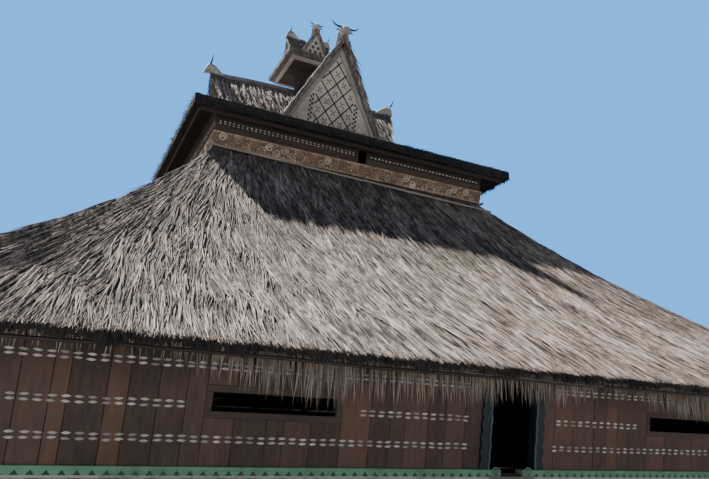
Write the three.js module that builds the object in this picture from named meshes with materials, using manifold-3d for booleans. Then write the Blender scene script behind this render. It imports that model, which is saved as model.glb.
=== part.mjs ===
// Karo Batak house: a hall on posts with leaning plank walls, a concave hipped thatch roof, a drum of
// boards above it, a crossing gable roof and a small tower, from ground level up.
// Millimetres, +X along the front, +Y to the back, +Z up. Origin on the ground under the middle.
import * as THREE from 'three';
import { mergeVertices } from 'three/addons/utils/BufferGeometryUtils.js';
import Module from 'manifold-3d';

const wasm = await Module();
wasm.setup();

// Joints between pieces
const GAP = 0.3;

// Wall base, at the top of the sills, and the lean of the walls
const SILL_TOP = 1600;
const WALL_X = 7550;
const WALL_Y = 9340;
const WALL_LEAN = Math.tan(THREE.MathUtils.degToRad(10));
const WALL_THICK = 61;

// Posts, rails and sills
const STONE_TOP = 230;
const STONE_RADIUS = 340;
const POST_RADIUS = 200;
const POST_TOP = 1050;
const RAIL_Z = [520, 720];
const RAIL_WIDTH = 130;
const RAIL_PAST_POST = 420;
const SILL_WIDTH = 300;
const SILL_PAST_CORNER = 260;
const STRIP_BOTTOM = 1470;
const STRIP_PROUD = 35;
const STRIP_DEPTH = 180;
const STRIP_NOTCH = 400;

// Floor
const FLOOR_BEAM_WIDTH = 260;
const FLOOR_BEAM_TOP = 1320;
const JOIST_WIDTH = 120;
const JOIST_TOP = 1490;
const JOIST_COUNT = 13;
const FLOOR_TOP = 1540;

// Door and windows
const DOOR_WIDTH = 800;
const DOOR_TOP = 2950;
const DOOR_FRAME = 165;
const WINDOW_LOW = 2220;
const WINDOW_HIGH = 2440;
const WINDOW_WIDTH = 1620;
const FRONT_WINDOW_X = 3680;
const SIDE_WINDOWS_Y = [-3300, 3300];

// Main roof: eave and head rectangles, and heights and sag of the thatch's top and underside,
// which come closer together towards the thin edge of the eave
const EAVE_X = 8760;
const EAVE_Y = 10550;
const EAVE_TOP = 3000;
const EAVE_UNDER = 2900;
const HEAD_X = 3595;
const HEAD_Y = 4128;
const HEAD_TOP = 8200;
const HEAD_UNDER = 7800;
const ROOF_SAG_TOP = 0.38;
const ROOF_SAG_UNDER = 0.4311;
const ROOF_STEPS = 10;
const RAFTER_END = 0.985;
const RAFTER_DEPTH = 120;
const RAFTER_WIDTH = 110;
const PURLIN_SIZE = 110;
const PLATE_WIDTH = 130;
const PLATE_DEPTH = 170;
const PLATE_OUT = 185;
const RING_SIZE = 200;

// Drum of boards between the roofs, and its upper eave
const DRUM_LEAN = Math.tan(THREE.MathUtils.degToRad(8));
const DRUM_THICK = 60;
const DRUM_FOOT = 7751;
const BAND_LOW = 8225;
const BAND_HIGH = 8560;
const BAND_THICK = 42;
const HATCH_X = 50;
const HATCH_WIDTH = 224;
const HATCH_LOW = 8580;
const HATCH_HIGH = 8960;
const UPPER_EAVE_X = 4280;
const UPPER_EAVE_Y = 4700;
const UPPER_EAVE_LOW = 8880;
const UPPER_EAVE_TOP = 9085;
const UPPER_EAVE_RISE = 0.42;
const UPPER_EAVE_RUN = 2600;

// Crossing gable roofs: half width at the eave level, the apexes' reach and heights, the ends' lean
const GABLE_HALF = 2370;
const GABLE_REACH_Y = 3100;
const GABLE_REACH_X = 3150;
const APEX_FRONT = 13110;
const APEX_LEFT = 12610;
const APEX_RIGHT = 12820;
const RIDGE_CENTRE = 12780;
const THATCH_LEAN = Math.tan(THREE.MathUtils.degToRad(16));
const PANEL_LEAN = Math.tan(THREE.MathUtils.degToRad(11.7));
const GABLE_THATCH = 210;
const GABLE_OVERHANG = 240;
const PANEL_THICK = 25;
const BARGE_THICK = 65;
const BARGE_WIDTH = 320;

// Tower on the crossing
const TOWER_BODY = 280;
const TOWER_BOARD = 45;
const TOWER_BODY_LOW = 12150;
const TOWER_FRAME_LOW = 13390;
const TOWER_FRAME_TOP = 13500;
const TOWER_FRAME_X = 800;
const TOWER_FRAME_Y = 880;
const TOWER_BEAM = 95;
const SOFFIT_INSET = 50;
const TOWER_EAVE = 960;
const TOWER_EAVE_TOP = 13670;
const TOWER_APEX = 14730;
const TOWER_GABLE_HALF = 540;
const TOWER_REACH_Y = 880;
const TOWER_REACH_X = 770;
const TOWER_GABLE_LEAN = 0.11;
const TOWER_THATCH = 160;
const TOWER_OVERHANG = 70;

// Ridge boards and the heads on them
const RIDGE_BOARD = 40;
const RIDGE_BOARD_HALF = 150;
const HEAD_SIZE = 1000;
const SMALL_HEAD_SIZE = 780;
const SMALL_HORNS = 0.68;
const HORN_RADIUS = 30;
const HEAD_INSET = 100;

// A cube from 0 to 1 each way, with segments, whose points a formula moves into place
function bent(nx, ny, nz, place) {
  const geometry = new THREE.BoxGeometry(1, 1, 1, nx, ny, nz);
  geometry.translate(0.5, 0.5, 0.5);
  const position = geometry.getAttribute('position');
  for (let i = 0; i < position.count; i++) {
    const [x, y, z] = place(position.getX(i), position.getY(i), position.getZ(i));
    position.setXYZ(i, x, y, z);
  }
  return geometry;
}

function box(x0, x1, y0, y1, z0, z1) {
  return bent(1, 1, 1, (u, v, w) => [x0 + (x1 - x0) * u, y0 + (y1 - y0) * v, z0 + (z1 - z0) * w]);
}

// Boolean solids
function solid(geometry) {
  const bare = geometry.clone();
  bare.deleteAttribute('normal');
  bare.deleteAttribute('uv');
  const merged = mergeVertices(bare, 1e-3);
  return new wasm.Manifold(new wasm.Mesh({
    numProp: 3,
    vertProperties: new Float32Array(merged.getAttribute('position').array),
    triVerts: new Uint32Array(merged.index.array),
  }));
}

function shape(manifold) {
  const mesh = manifold.getMesh();
  const geometry = new THREE.BufferGeometry();
  geometry.setAttribute('position', new THREE.BufferAttribute(mesh.vertProperties, 3));
  geometry.setIndex(new THREE.BufferAttribute(mesh.triVerts, 1));
  return geometry;
}

function joined(geometries) {
  return geometries.map(solid).reduce((all, piece) => all.add(piece));
}

// The house, and its finishes
const house = new THREE.Group();
const finish = {
  post: [0x5a4636, 0.85],
  sill: [0x6b4a36, 0.7],
  board: [0x50372a, 0.75],
  frame: [0x1d2a30, 0.6],
  beam: [0x6e5a48, 0.85],
  thatch: [0x9a8a80, 1.0],
  band: [0x9a7a4a, 0.7],
  bamboo: [0x8d8272, 0.8],
  ridge: [0x8a8078, 0.9],
  tower: [0x4a2e26, 0.8],
};

function piece(name, geometry, kind, turn = 0) {
  const [color, roughness] = finish[kind];
  const material = new THREE.MeshStandardMaterial({ color, roughness, metalness: 0 });
  const mesh = new THREE.Mesh(geometry, material);
  mesh.name = name;
  mesh.rotation.z = turn;
  house.add(mesh);
}

// Posts: five rows of four, each row held together by a rail through its posts, on pad stones
const postY = [-1, -0.5, 0, 0.5, 1].map((k) => k * (WALL_Y - SILL_WIDTH / 2));
const postX = [-1, -1 / 3, 1 / 3, 1].map((k) => k * (WALL_X - SILL_WIDTH / 2));

function postOnStone(x, y) {
  const profile = [
    new THREE.Vector2(0, 0),
    new THREE.Vector2(STONE_RADIUS, 0),
    new THREE.Vector2(STONE_RADIUS * 0.95, STONE_TOP * 0.7),
    new THREE.Vector2(STONE_RADIUS * 0.75, STONE_TOP),
    new THREE.Vector2(POST_RADIUS, STONE_TOP),
    new THREE.Vector2(POST_RADIUS, POST_TOP),
    new THREE.Vector2(0, POST_TOP),
  ];
  const geometry = new THREE.LatheGeometry(profile, 12);
  geometry.rotateX(Math.PI / 2);
  geometry.translate(x, y, 0);
  return geometry;
}

postY.forEach((y, row) => {
  const reach = postX[3] + RAIL_PAST_POST;
  const rail = box(-reach, reach, y - RAIL_WIDTH / 2, y + RAIL_WIDTH / 2, RAIL_Z[0], RAIL_Z[1]);
  const posts = postX.map((x) => postOnStone(x, y));
  piece(`post_row_${row + 1}`, shape(joined([rail, ...posts])), 'post');
});

// Sills on the outer posts: long ones in front and at the back, short ones between them
const sillLow = POST_TOP + GAP;
const sillHigh = STRIP_BOTTOM - GAP;
for (const [name, side] of [['front', -1], ['back', 1]]) {
  const outer = side * WALL_Y;
  const inner = side * (WALL_Y - SILL_WIDTH);
  const [low, high] = [Math.min(outer, inner), Math.max(outer, inner)];
  const reach = WALL_X + SILL_PAST_CORNER;
  piece(`sill_${name}`, box(-reach, reach, low, high, sillLow, sillHigh), 'sill');
}
for (const [name, side] of [['left', -1], ['right', 1]]) {
  const outer = side * WALL_X;
  const inner = side * (WALL_X - SILL_WIDTH);
  const [low, high] = [Math.min(outer, inner), Math.max(outer, inner)];
  const reach = WALL_Y - SILL_WIDTH - GAP;
  piece(`sill_${name}`, box(low, high, -reach, reach, sillLow, sillHigh), 'sill');
}

// Painted strips on the sills, with a step down at each doorway
const stripHigh = SILL_TOP - GAP;
for (const [name, side] of [['front', -1], ['back', 1]]) {
  const outer = side * (WALL_Y + STRIP_PROUD);
  const inner = outer - side * STRIP_DEPTH;
  const [low, high] = [Math.min(outer, inner), Math.max(outer, inner)];
  const reach = WALL_X + STRIP_PROUD;
  const notch = STRIP_NOTCH / 2;
  const strip = solid(box(-reach, reach, low, high, STRIP_BOTTOM, stripHigh));
  const step = solid(box(-notch, notch, low - 10, high + 10, STRIP_BOTTOM + 40, stripHigh + 10));
  piece(`painted_strip_${name}`, shape(strip.subtract(step)), 'sill');
}
for (const [name, side] of [['left', -1], ['right', 1]]) {
  const outer = side * (WALL_X + STRIP_PROUD);
  const inner = outer - side * STRIP_DEPTH;
  const [low, high] = [Math.min(outer, inner), Math.max(outer, inner)];
  const reach = WALL_Y + STRIP_PROUD - STRIP_DEPTH - GAP;
  piece(`painted_strip_${name}`, box(low, high, -reach, reach, STRIP_BOTTOM, stripHigh), 'sill');
}

// Floor: two long beams on the inner posts, joists across them, and the boards
const roomX = WALL_X - SILL_WIDTH - GAP;
const roomY = WALL_Y - SILL_WIDTH - GAP;
const floorBeams = postX.slice(1, 3).map((x) => {
  const half = FLOOR_BEAM_WIDTH / 2;
  return box(x - half, x + half, -roomY, roomY, POST_TOP + GAP, FLOOR_BEAM_TOP);
});
const joists = [];
for (let i = 0; i < JOIST_COUNT; i++) {
  const y = (roomY - JOIST_WIDTH / 2) * (2 * i / (JOIST_COUNT - 1) - 1);
  joists.push(box(-roomX, roomX, y - JOIST_WIDTH / 2, y + JOIST_WIDTH / 2, FLOOR_BEAM_TOP - 20, JOIST_TOP));
}
piece('floor_frame', shape(joined([...floorBeams, ...joists])), 'beam');
const boardX = WALL_X + STRIP_PROUD - STRIP_DEPTH - GAP;
const boardY = WALL_Y + STRIP_PROUD - STRIP_DEPTH - GAP;
piece('floor_boards', box(-boardX, boardX, -boardY, boardY, JOIST_TOP + GAP, FLOOR_TOP), 'beam');

// Main roof surface: t runs from 0 at the head to 1 at the eave
const roofHalfX = (t) => HEAD_X + (EAVE_X - HEAD_X) * t;
const roofHalfY = (t) => HEAD_Y + (EAVE_Y - HEAD_Y) * t;
const roofCurve = (head, eave, sag) => (t) => head - (head - eave) * (t + sag * t * (1 - t));
const inSteps = (curve) => (t) => {
  const step = Math.min(ROOF_STEPS - 1, Math.floor(t * ROOF_STEPS + 1e-9));
  const along = t * ROOF_STEPS - step;
  return curve(step / ROOF_STEPS) * (1 - along) + curve((step + 1) / ROOF_STEPS) * along;
};
const roofTop = inSteps(roofCurve(HEAD_TOP, EAVE_TOP, ROOF_SAG_TOP));
const roofUnder = inSteps(roofCurve(HEAD_UNDER, EAVE_UNDER, ROOF_SAG_UNDER));
const roofAtX = (x) => (Math.abs(x) - HEAD_X) / (EAVE_X - HEAD_X);
const roofAtY = (y) => (Math.abs(y) - HEAD_Y) / (EAVE_Y - HEAD_Y);
const rafterUnder = (t) => roofUnder(t) - GAP - RAFTER_DEPTH;

// Walls end just under the rafters
function wallHead(base, roofAt) {
  let top = EAVE_TOP;
  for (let i = 0; i < 30; i++) {
    top = rafterUnder(roofAt(base + (top - SILL_TOP) * WALL_LEAN)) - GAP;
  }
  return top;
}
const wallTop = { short: wallHead(WALL_Y, roofAtY), long: wallHead(WALL_X, roofAtX) };

// A leaning wall from s0 to s1 along its base line; full ends are mitred into the next wall
function leaningWall(across, along, thick, lean, low, high, base, s0, s1) {
  return bent(1, 1, 1, (u, v, w) => {
    const z = low + (high - low) * w;
    const out = (z - base) * lean;
    const depth = across + out - thick * v;
    const end = along + out - thick * v - GAP;
    const left = s0 === null ? -end : s0;
    const right = s1 === null ? end : s1;
    return [right + (left - right) * u, depth, z];
  });
}

const doorHalf = DOOR_WIDTH / 2;
const frameHalf = doorHalf + DOOR_FRAME;
const frameTop = DOOR_TOP + 100;

function windowCut(s, across) {
  const half = WINDOW_WIDTH / 2;
  return solid(box(s - half, s + half, across - 300, across + 600, WINDOW_LOW, WINDOW_HIGH));
}

// Front and back walls, each left and right of the doorway and over it. Walls are drawn facing +Y and
// turned round: the front one by half a turn, which puts its own right on the house's left.
for (const [name, turn] of [['front', Math.PI], ['back', 0]]) {
  const make = (s0, s1, low) => leaningWall(WALL_Y, WALL_X, WALL_THICK, WALL_LEAN, low, wallTop.short,
    SILL_TOP, s0, s1);
  const right = solid(make(frameHalf + GAP, null, SILL_TOP));
  const left = solid(make(null, -frameHalf - GAP, SILL_TOP));
  const sides = turn ? ['left', 'right'] : ['right', 'left'];
  piece(`${name}_wall_${sides[0]}`, shape(right.subtract(windowCut(FRONT_WINDOW_X, WALL_Y))), 'board', turn);
  piece(`${name}_wall_${sides[1]}`, shape(left.subtract(windowCut(-FRONT_WINDOW_X, WALL_Y))), 'board', turn);
  piece(`${name}_wall_over_door`, make(-frameHalf, frameHalf, frameTop + GAP), 'board', turn);
}

// Side walls
for (const [name, turn] of [['left', Math.PI / 2], ['right', -Math.PI / 2]]) {
  const wall = leaningWall(WALL_X, WALL_Y, WALL_THICK, WALL_LEAN, SILL_TOP, wallTop.long, SILL_TOP,
    null, null);
  const cut = SIDE_WINDOWS_Y.reduce((left, s) => left.subtract(windowCut(s, WALL_X)), solid(wall));
  piece(`side_wall_${name}`, shape(cut), 'board', turn);
}

// Door frames: two jambs and a head, standing a little proud of the wall and leaning with it
function doorFrame() {
  const slab = (x0, x1, z0, z1, proud, thick) => bent(1, 1, 1, (u, v, w) => {
    const z = z0 + (z1 - z0) * w;
    const y = WALL_Y + proud + (z - SILL_TOP) * WALL_LEAN - thick * v;
    return [x1 + (x0 - x1) * u, y, z];
  });
  const whole = solid(slab(-frameHalf + GAP, frameHalf - GAP, SILL_TOP, frameTop, 30, 150));
  const opening = solid(slab(-doorHalf, doorHalf, SILL_TOP - 50, DOOR_TOP, 200, 500));
  return shape(whole.subtract(opening));
}
piece('door_frame_front', doorFrame(), 'frame', Math.PI);
piece('door_frame_back', doorFrame(), 'frame');

// Wall plate inside the wall heads, carrying the rafters
function ring(outX, outY, size, low, high) {
  const outer = solid(box(-outX, outX, -outY, outY, low, high));
  const inner = solid(box(-outX + size, outX - size, -outY + size, outY - size, low - 10, high + 10));
  return outer.subtract(inner);
}
const plateX = WALL_X + PLATE_OUT;
const plateY = WALL_Y + PLATE_OUT;
const plateTopShort = rafterUnder(roofAtY(plateY)) - GAP;
const plateTopLong = rafterUnder(roofAtX(plateX)) - GAP;
const plateRing = ring(plateX, plateY, PLATE_WIDTH, plateTopShort - PLATE_DEPTH, plateTopShort);
const plateSides = [-1, 1].map((side) => {
  const outer = side * plateX;
  const inner = side * (plateX - PLATE_WIDTH);
  const reach = plateY - 700;
  return box(Math.min(outer, inner), Math.max(outer, inner), -reach, reach, plateTopShort - 20, plateTopLong);
});
piece('wall_plate', shape(plateRing.add(solid(plateSides[0])).add(solid(plateSides[1]))), 'beam');

// Ring beam at the head of the main roof, under the drum
const ringX = HEAD_X - 30;
const ringY = HEAD_Y - 30;
piece('roof_ring', shape(ring(ringX, ringY, RING_SIZE, DRUM_FOOT - GAP - 300, DRUM_FOOT - GAP)), 'beam');

// Rafters of one slope, following the thatch, with two purlins under them.
// span and half are the slope's run outwards and its half length along the eave.
function rafterFrame(out, along, places, headOut) {
  const parts = [];
  for (const s of places) {
    const half = RAFTER_WIDTH / 2;
    const start = Math.max(0, (Math.abs(s) + half + 60 - along(0)) / (along(1) - along(0)));
    const stops = [RAFTER_END];
    for (let k = ROOF_STEPS - 1; k / ROOF_STEPS > start; k--) {
      stops.push(k / ROOF_STEPS);
    }
    stops.push(start);
    parts.push(bent(1, stops.length - 1, 1, (u, v, w) => {
      const t = stops[Math.round(v * (stops.length - 1))];
      const z = roofUnder(t) - GAP - RAFTER_DEPTH * (1 - w);
      const reach = t === 0 ? headOut : out(t);
      return [s + half - 2 * half * u, reach, z];
    }));
  }
  for (const t of [0.36, 0.72]) {
    const reach = along(t) - 260;
    const z = rafterUnder(t) - PURLIN_SIZE * 0.62;
    const y = out(t);
    parts.push(box(-reach, reach, y - PURLIN_SIZE / 2, y + PURLIN_SIZE / 2, z - 20, z + PURLIN_SIZE));
  }
  return shape(joined(parts));
}
const shortRafters = [-6600, -4400, -2200, 0, 2200, 4400, 6600];
const longRafters = [-8400, -6300, -4200, -2100, 0, 2100, 4200, 6300, 8400];
const shortFrame = () => rafterFrame(roofHalfY, roofHalfX, shortRafters, ringY + GAP);
const longFrame = () => rafterFrame(roofHalfX, roofHalfY, longRafters, ringX + GAP);
piece('rafters_front', shortFrame(), 'beam', Math.PI);
piece('rafters_back', shortFrame(), 'beam');
piece('rafters_left', longFrame(), 'beam', Math.PI / 2);
piece('rafters_right', longFrame(), 'beam', -Math.PI / 2);

// Main thatch: each slope meets its neighbours in upright planes through the hips
function thatchSlope(out, along) {
  return bent(1, ROOF_STEPS, 1, (u, v, w) => {
    const t = 1 - v;
    const z = roofUnder(t) + (roofTop(t) - roofUnder(t)) * w;
    return [(along(t) - GAP) * (1 - 2 * u), out(t), z];
  });
}
piece('thatch_front', thatchSlope(roofHalfY, roofHalfX), 'thatch', Math.PI);
piece('thatch_back', thatchSlope(roofHalfY, roofHalfX), 'thatch');
piece('thatch_left', thatchSlope(roofHalfX, roofHalfY), 'thatch', Math.PI / 2);
piece('thatch_right', thatchSlope(roofHalfX, roofHalfY), 'thatch', -Math.PI / 2);

// Upper eave: a hipped ring of thatch over the drum, its hips at 45 degrees in plan
const upperUnder = (y) => UPPER_EAVE_LOW + (UPPER_EAVE_Y - y) * UPPER_EAVE_RISE;
const upperTopAt = (inward) => UPPER_EAVE_TOP + inward * UPPER_EAVE_RISE;

function frustum(x0, y0, z0, x1, y1, z1) {
  return bent(1, 1, 1, (u, v, w) => {
    const halfX = x0 + (x1 - x0) * w;
    const halfY = y0 + (y1 - y0) * w;
    return [halfX * (2 * u - 1), halfY * (2 * v - 1), z0 + (z1 - z0) * w];
  });
}
function upperEaveBody(lift) {
  const inX = UPPER_EAVE_X - UPPER_EAVE_RUN;
  const inY = UPPER_EAVE_Y - UPPER_EAVE_RUN;
  const block = box(-UPPER_EAVE_X, UPPER_EAVE_X, -UPPER_EAVE_Y, UPPER_EAVE_Y, UPPER_EAVE_LOW,
    UPPER_EAVE_TOP + lift);
  const slope = frustum(UPPER_EAVE_X, UPPER_EAVE_Y, UPPER_EAVE_TOP + lift - 1, inX, inY,
    upperTopAt(UPPER_EAVE_RUN) + lift - 1);
  return solid(block).add(solid(slope));
}
const eaveThick = UPPER_EAVE_TOP - UPPER_EAVE_LOW;
const underside = solid(frustum(UPPER_EAVE_X, UPPER_EAVE_Y, UPPER_EAVE_LOW - 1,
  UPPER_EAVE_X - UPPER_EAVE_RUN, UPPER_EAVE_Y - UPPER_EAVE_RUN,
  upperTopAt(UPPER_EAVE_RUN) - eaveThick - 1));
const holeX = UPPER_EAVE_X - UPPER_EAVE_RUN + 1;
const holeY = UPPER_EAVE_Y - UPPER_EAVE_RUN + 1;
const eaveHole = solid(box(-holeX, holeX, -holeY, holeY, UPPER_EAVE_LOW, upperTopAt(UPPER_EAVE_RUN) + 100));
piece('upper_eave_thatch', shape(upperEaveBody(0).subtract(underside).subtract(eaveHole)), 'thatch');

// Drum boards: leaning like the walls, cut off under the upper eave
const drumTop = upperUnder(HEAD_Y);
const underCut = solid(box(-6000, 6000, -6000, 6000, UPPER_EAVE_LOW - 400, 11000)).subtract(
  solid(frustum(UPPER_EAVE_X, UPPER_EAVE_Y, UPPER_EAVE_LOW - 1 - GAP,
    UPPER_EAVE_X - UPPER_EAVE_RUN, UPPER_EAVE_Y - UPPER_EAVE_RUN,
    upperTopAt(UPPER_EAVE_RUN) - eaveThick - 1 - GAP)),
).subtract(solid(box(-UPPER_EAVE_X, UPPER_EAVE_X, -UPPER_EAVE_Y, UPPER_EAVE_Y, 8000, UPPER_EAVE_LOW - 1)));

function drumSide(across, along, hatch) {
  const wall = leaningWall(across - 1, along - 1, DRUM_THICK, DRUM_LEAN, DRUM_FOOT, drumTop + 60,
    HEAD_TOP, null, null);
  const cut = solid(wall);
  if (!hatch) {
    return cut;
  }
  const half = HATCH_WIDTH / 2;
  const hole = box(hatch - half, hatch + half, across - 300, across + 400, HATCH_LOW, HATCH_HIGH);
  return cut.subtract(solid(hole));
}
function turned(manifold, turn) {
  const geometry = shape(manifold);
  geometry.rotateZ(turn);
  return solid(geometry);
}
const drumSides = [
  ['front', HEAD_Y, HEAD_X, -HATCH_X, Math.PI],
  ['back', HEAD_Y, HEAD_X, HATCH_X, 0],
  ['left', HEAD_X, HEAD_Y, 0, Math.PI / 2],
  ['right', HEAD_X, HEAD_Y, 0, -Math.PI / 2],
];
for (const [name, across, along, hatch, turn] of drumSides) {
  const boards = turned(drumSide(across, along, hatch), turn).subtract(underCut);
  piece(`drum_boards_${name}`, shape(boards), 'board');
}

// Carved band round the drum
function drumShell(grow, low, high) {
  const lowOut = (low - HEAD_TOP) * DRUM_LEAN + grow - 1;
  const highOut = (high - HEAD_TOP) * DRUM_LEAN + grow - 1;
  return solid(frustum(HEAD_X + lowOut, HEAD_Y + lowOut, low, HEAD_X + highOut, HEAD_Y + highOut, high));
}
const bandInner = drumShell(GAP, BAND_LOW - 20, BAND_HIGH + 20);
piece('carved_band', shape(drumShell(BAND_THICK, BAND_LOW, BAND_HIGH).subtract(bandInner)), 'band');

// Crossing gable roofs: prisms along Y whose ridges bend from the crossing to the ends and whose ends
// lean outwards. drop lowers the whole prism, grow moves its leaning ends outwards.
function gablePrism(form, drop, grow) {
  const knots = [0, 0.3, 0.6];
  return bent(2, 6, 1, (u, v, w) => {
    const side = Math.round(2 * u - 1);
    const step = Math.round(6 * v - 3);
    const apex = step < 0 ? form.nearApex : form.farApex;
    const sag = (k) => form.centre + (apex - form.centre) * k * k;
    const slope = (apex - sag(0.6)) / (0.4 * form.reach);
    const lineZ = apex - drop - slope * form.reach;
    const endAt = (z) => form.base + grow + (z - form.foot) * form.lean;
    const crest = side === 0 && w === 1;
    const endRidge = (lineZ + slope * (form.base + grow - form.foot * form.lean)) / (1 - slope * form.lean);
    const atEnd = Math.abs(step) === 3;
    const reach = atEnd ? endAt(crest ? endRidge : form.foot) : knots[Math.abs(step)] * form.reach;
    const ridge = atEnd ? lineZ + slope * reach : sag(knots[Math.abs(step)]) - drop;
    const x = side * (ridge - form.foot) / form.pitch;
    return [x, Math.sign(step) * reach, crest ? ridge : form.foot - (w === 0 ? 1 : 0)];
  });
}
const gableFoot = UPPER_EAVE_TOP - 200;
const bigGable = (nearApex, farApex, reach, lean, back) => ({
  nearApex,
  farApex,
  centre: RIDGE_CENTRE,
  base: reach - back - ((nearApex + farApex) / 2 - gableFoot) * lean,
  foot: gableFoot,
  lean,
  reach,
  pitch: (APEX_FRONT - UPPER_EAVE_TOP) / GABLE_HALF,
});
const thatchY = bigGable(APEX_FRONT, APEX_FRONT, GABLE_REACH_Y, THATCH_LEAN, 0);
const thatchX = bigGable(APEX_RIGHT, APEX_LEFT, GABLE_REACH_X, THATCH_LEAN, 0);
const panelY = bigGable(APEX_FRONT, APEX_FRONT, GABLE_REACH_Y, PANEL_LEAN, GABLE_OVERHANG);
const panelX = bigGable(APEX_RIGHT, APEX_LEFT, GABLE_REACH_X, PANEL_LEAN, GABLE_OVERHANG);
const alongX = (manifold) => turned(manifold, Math.PI / 2);
const yPrism = (drop, grow) => solid(gablePrism(thatchY, drop, grow));
const xPrism = (drop, grow) => alongX(solid(gablePrism(thatchX, drop, grow)));
const eaveTool = upperEaveBody(GAP).add(solid(box(-UPPER_EAVE_X, UPPER_EAVE_X, -UPPER_EAVE_Y,
  UPPER_EAVE_Y, 8000, UPPER_EAVE_LOW + 10)));
const towerHole = solid(box(-TOWER_BODY - GAP, TOWER_BODY + GAP, -TOWER_BODY - GAP, TOWER_BODY + GAP,
  TOWER_BODY_LOW - 2000, TOWER_APEX));
const gableShell = yPrism(0, 0).add(xPrism(0, 0))
  .subtract(yPrism(GABLE_THATCH, 400)).subtract(xPrism(GABLE_THATCH, 400))
  .subtract(eaveTool).subtract(towerHole);

// Each gable keeps a quarter of the crossing, seen from above
function quarter(turn) {
  const far = 6000;
  const outline = new THREE.Shape([
    new THREE.Vector2(0, -GAP),
    new THREE.Vector2(-far, -far - GAP),
    new THREE.Vector2(far, -far - GAP),
  ]);
  const wedge = new THREE.ExtrudeGeometry(outline, { depth: 8000, bevelEnabled: false });
  wedge.translate(0, 0, 8000);
  wedge.rotateZ(turn);
  return solid(wedge);
}
const quarters = [
  ['front', 0],
  ['right', Math.PI / 2],
  ['back', Math.PI],
  ['left', -Math.PI / 2],
];
for (const [name, turn] of quarters) {
  piece(`gable_thatch_${name}`, shape(gableShell.intersect(quarter(turn))), 'thatch');
}

// Gable panels stand under the thatch behind its ends, sunk between barge boards along both slopes
function gablePanel(prism) {
  const plate = prism(GABLE_THATCH + GAP, 0).subtract(prism(0, -BARGE_THICK));
  const sunk = prism(GABLE_THATCH + BARGE_WIDTH, 300).subtract(prism(0, PANEL_THICK - BARGE_THICK));
  return plate.subtract(sunk).subtract(eaveTool);
}
const panels = {
  y: gablePanel((drop, grow) => solid(gablePrism(panelY, drop, grow))),
  x: gablePanel((drop, grow) => alongX(solid(gablePrism(panelX, drop, grow)))),
};
for (const [name, turn] of quarters) {
  const panel = name === 'front' || name === 'back' ? panels.y : panels.x;
  piece(`gable_panel_${name}`, shape(panel.intersect(quarter(turn))), 'bamboo');
}

// A buffalo head lying along the ridge with its face outwards along -Y, and two horns curving up.
// Each station gives the place along the head, the height of its middle, half its width and height.
const headStations = [
  [0.52, -0.10, 0.07, 0.07],
  [0.36, 0.00, 0.13, 0.13],
  [0.18, 0.10, 0.16, 0.16],
  [0.00, 0.16, 0.16, 0.17],
  [-0.10, 0.08, 0.12, 0.13],
  [-0.15, -0.02, 0.08, 0.08],
];
const hornCurve = [[0.09, 0.24], [0.24, 0.22], [0.36, 0.27], [0.43, 0.38]];

function buffaloHead(size, horns) {
  const last = headStations.length - 1;
  const skull = bent(3, last, 3, (u, v, w) => {
    const [along, middle, halfWidth, halfHeight] = headStations[Math.round((1 - v) * last)];
    const across = 2 * u - 1;
    const up = 2 * w - 1;
    return [
      size * halfWidth * across * Math.sqrt(1 - up * up / 2),
      size * along,
      size * (middle + halfHeight * up * Math.sqrt(1 - across * across / 2)),
    ];
  });
  const parts = [skull];
  const [rootOut, rootUp] = hornCurve[0];
  for (const side of [-1, 1]) {
    const points = hornCurve.map(([out, up]) => new THREE.Vector3(
      side * size * (rootOut + (out - rootOut) * horns),
      0,
      size * (rootUp + (up - rootUp) * horns),
    ));
    const section = new THREE.Shape();
    section.absarc(0, 0, HORN_RADIUS * horns, 0, Math.PI * 2);
    parts.push(new THREE.ExtrudeGeometry(section, {
      extrudePath: new THREE.CatmullRomCurve3(points), steps: 6, curveSegments: 3, bevelEnabled: false,
    }));
  }
  return joined(parts);
}
function placed(manifold, x, y, z, turn) {
  const geometry = shape(manifold);
  geometry.rotateZ(turn);
  geometry.translate(x, y, z);
  return solid(geometry);
}

// Ridge boards over the thatch, a head on the end of each
const boardClip = solid(box(-RIDGE_BOARD_HALF, RIDGE_BOARD_HALF, -6000, 6000, 12000, 16000));
const coverY = yPrism(-RIDGE_BOARD, -RIDGE_BOARD).intersect(boardClip);
const coverX = xPrism(-RIDGE_BOARD, -RIDGE_BOARD).intersect(alongX(boardClip));
const overThatch = yPrism(-GAP, GAP).add(xPrism(-GAP, GAP));
const headPlaces = {
  front: [0, HEAD_INSET - GABLE_REACH_Y, APEX_FRONT, 0],
  right: [GABLE_REACH_X - HEAD_INSET, 0, APEX_RIGHT, Math.PI / 2],
  back: [0, GABLE_REACH_Y - HEAD_INSET, APEX_FRONT, Math.PI],
  left: [HEAD_INSET - GABLE_REACH_X, 0, APEX_LEFT, -Math.PI / 2],
};
for (const [name, turn] of quarters) {
  const cover = name === 'front' || name === 'back' ? coverY : coverX;
  const head = placed(buffaloHead(HEAD_SIZE, 1), ...headPlaces[name]);
  const whole = cover.intersect(quarter(turn)).add(head).subtract(overThatch).subtract(towerHole);
  piece(`ridge_${name}`, shape(whole), 'ridge');
}

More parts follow.
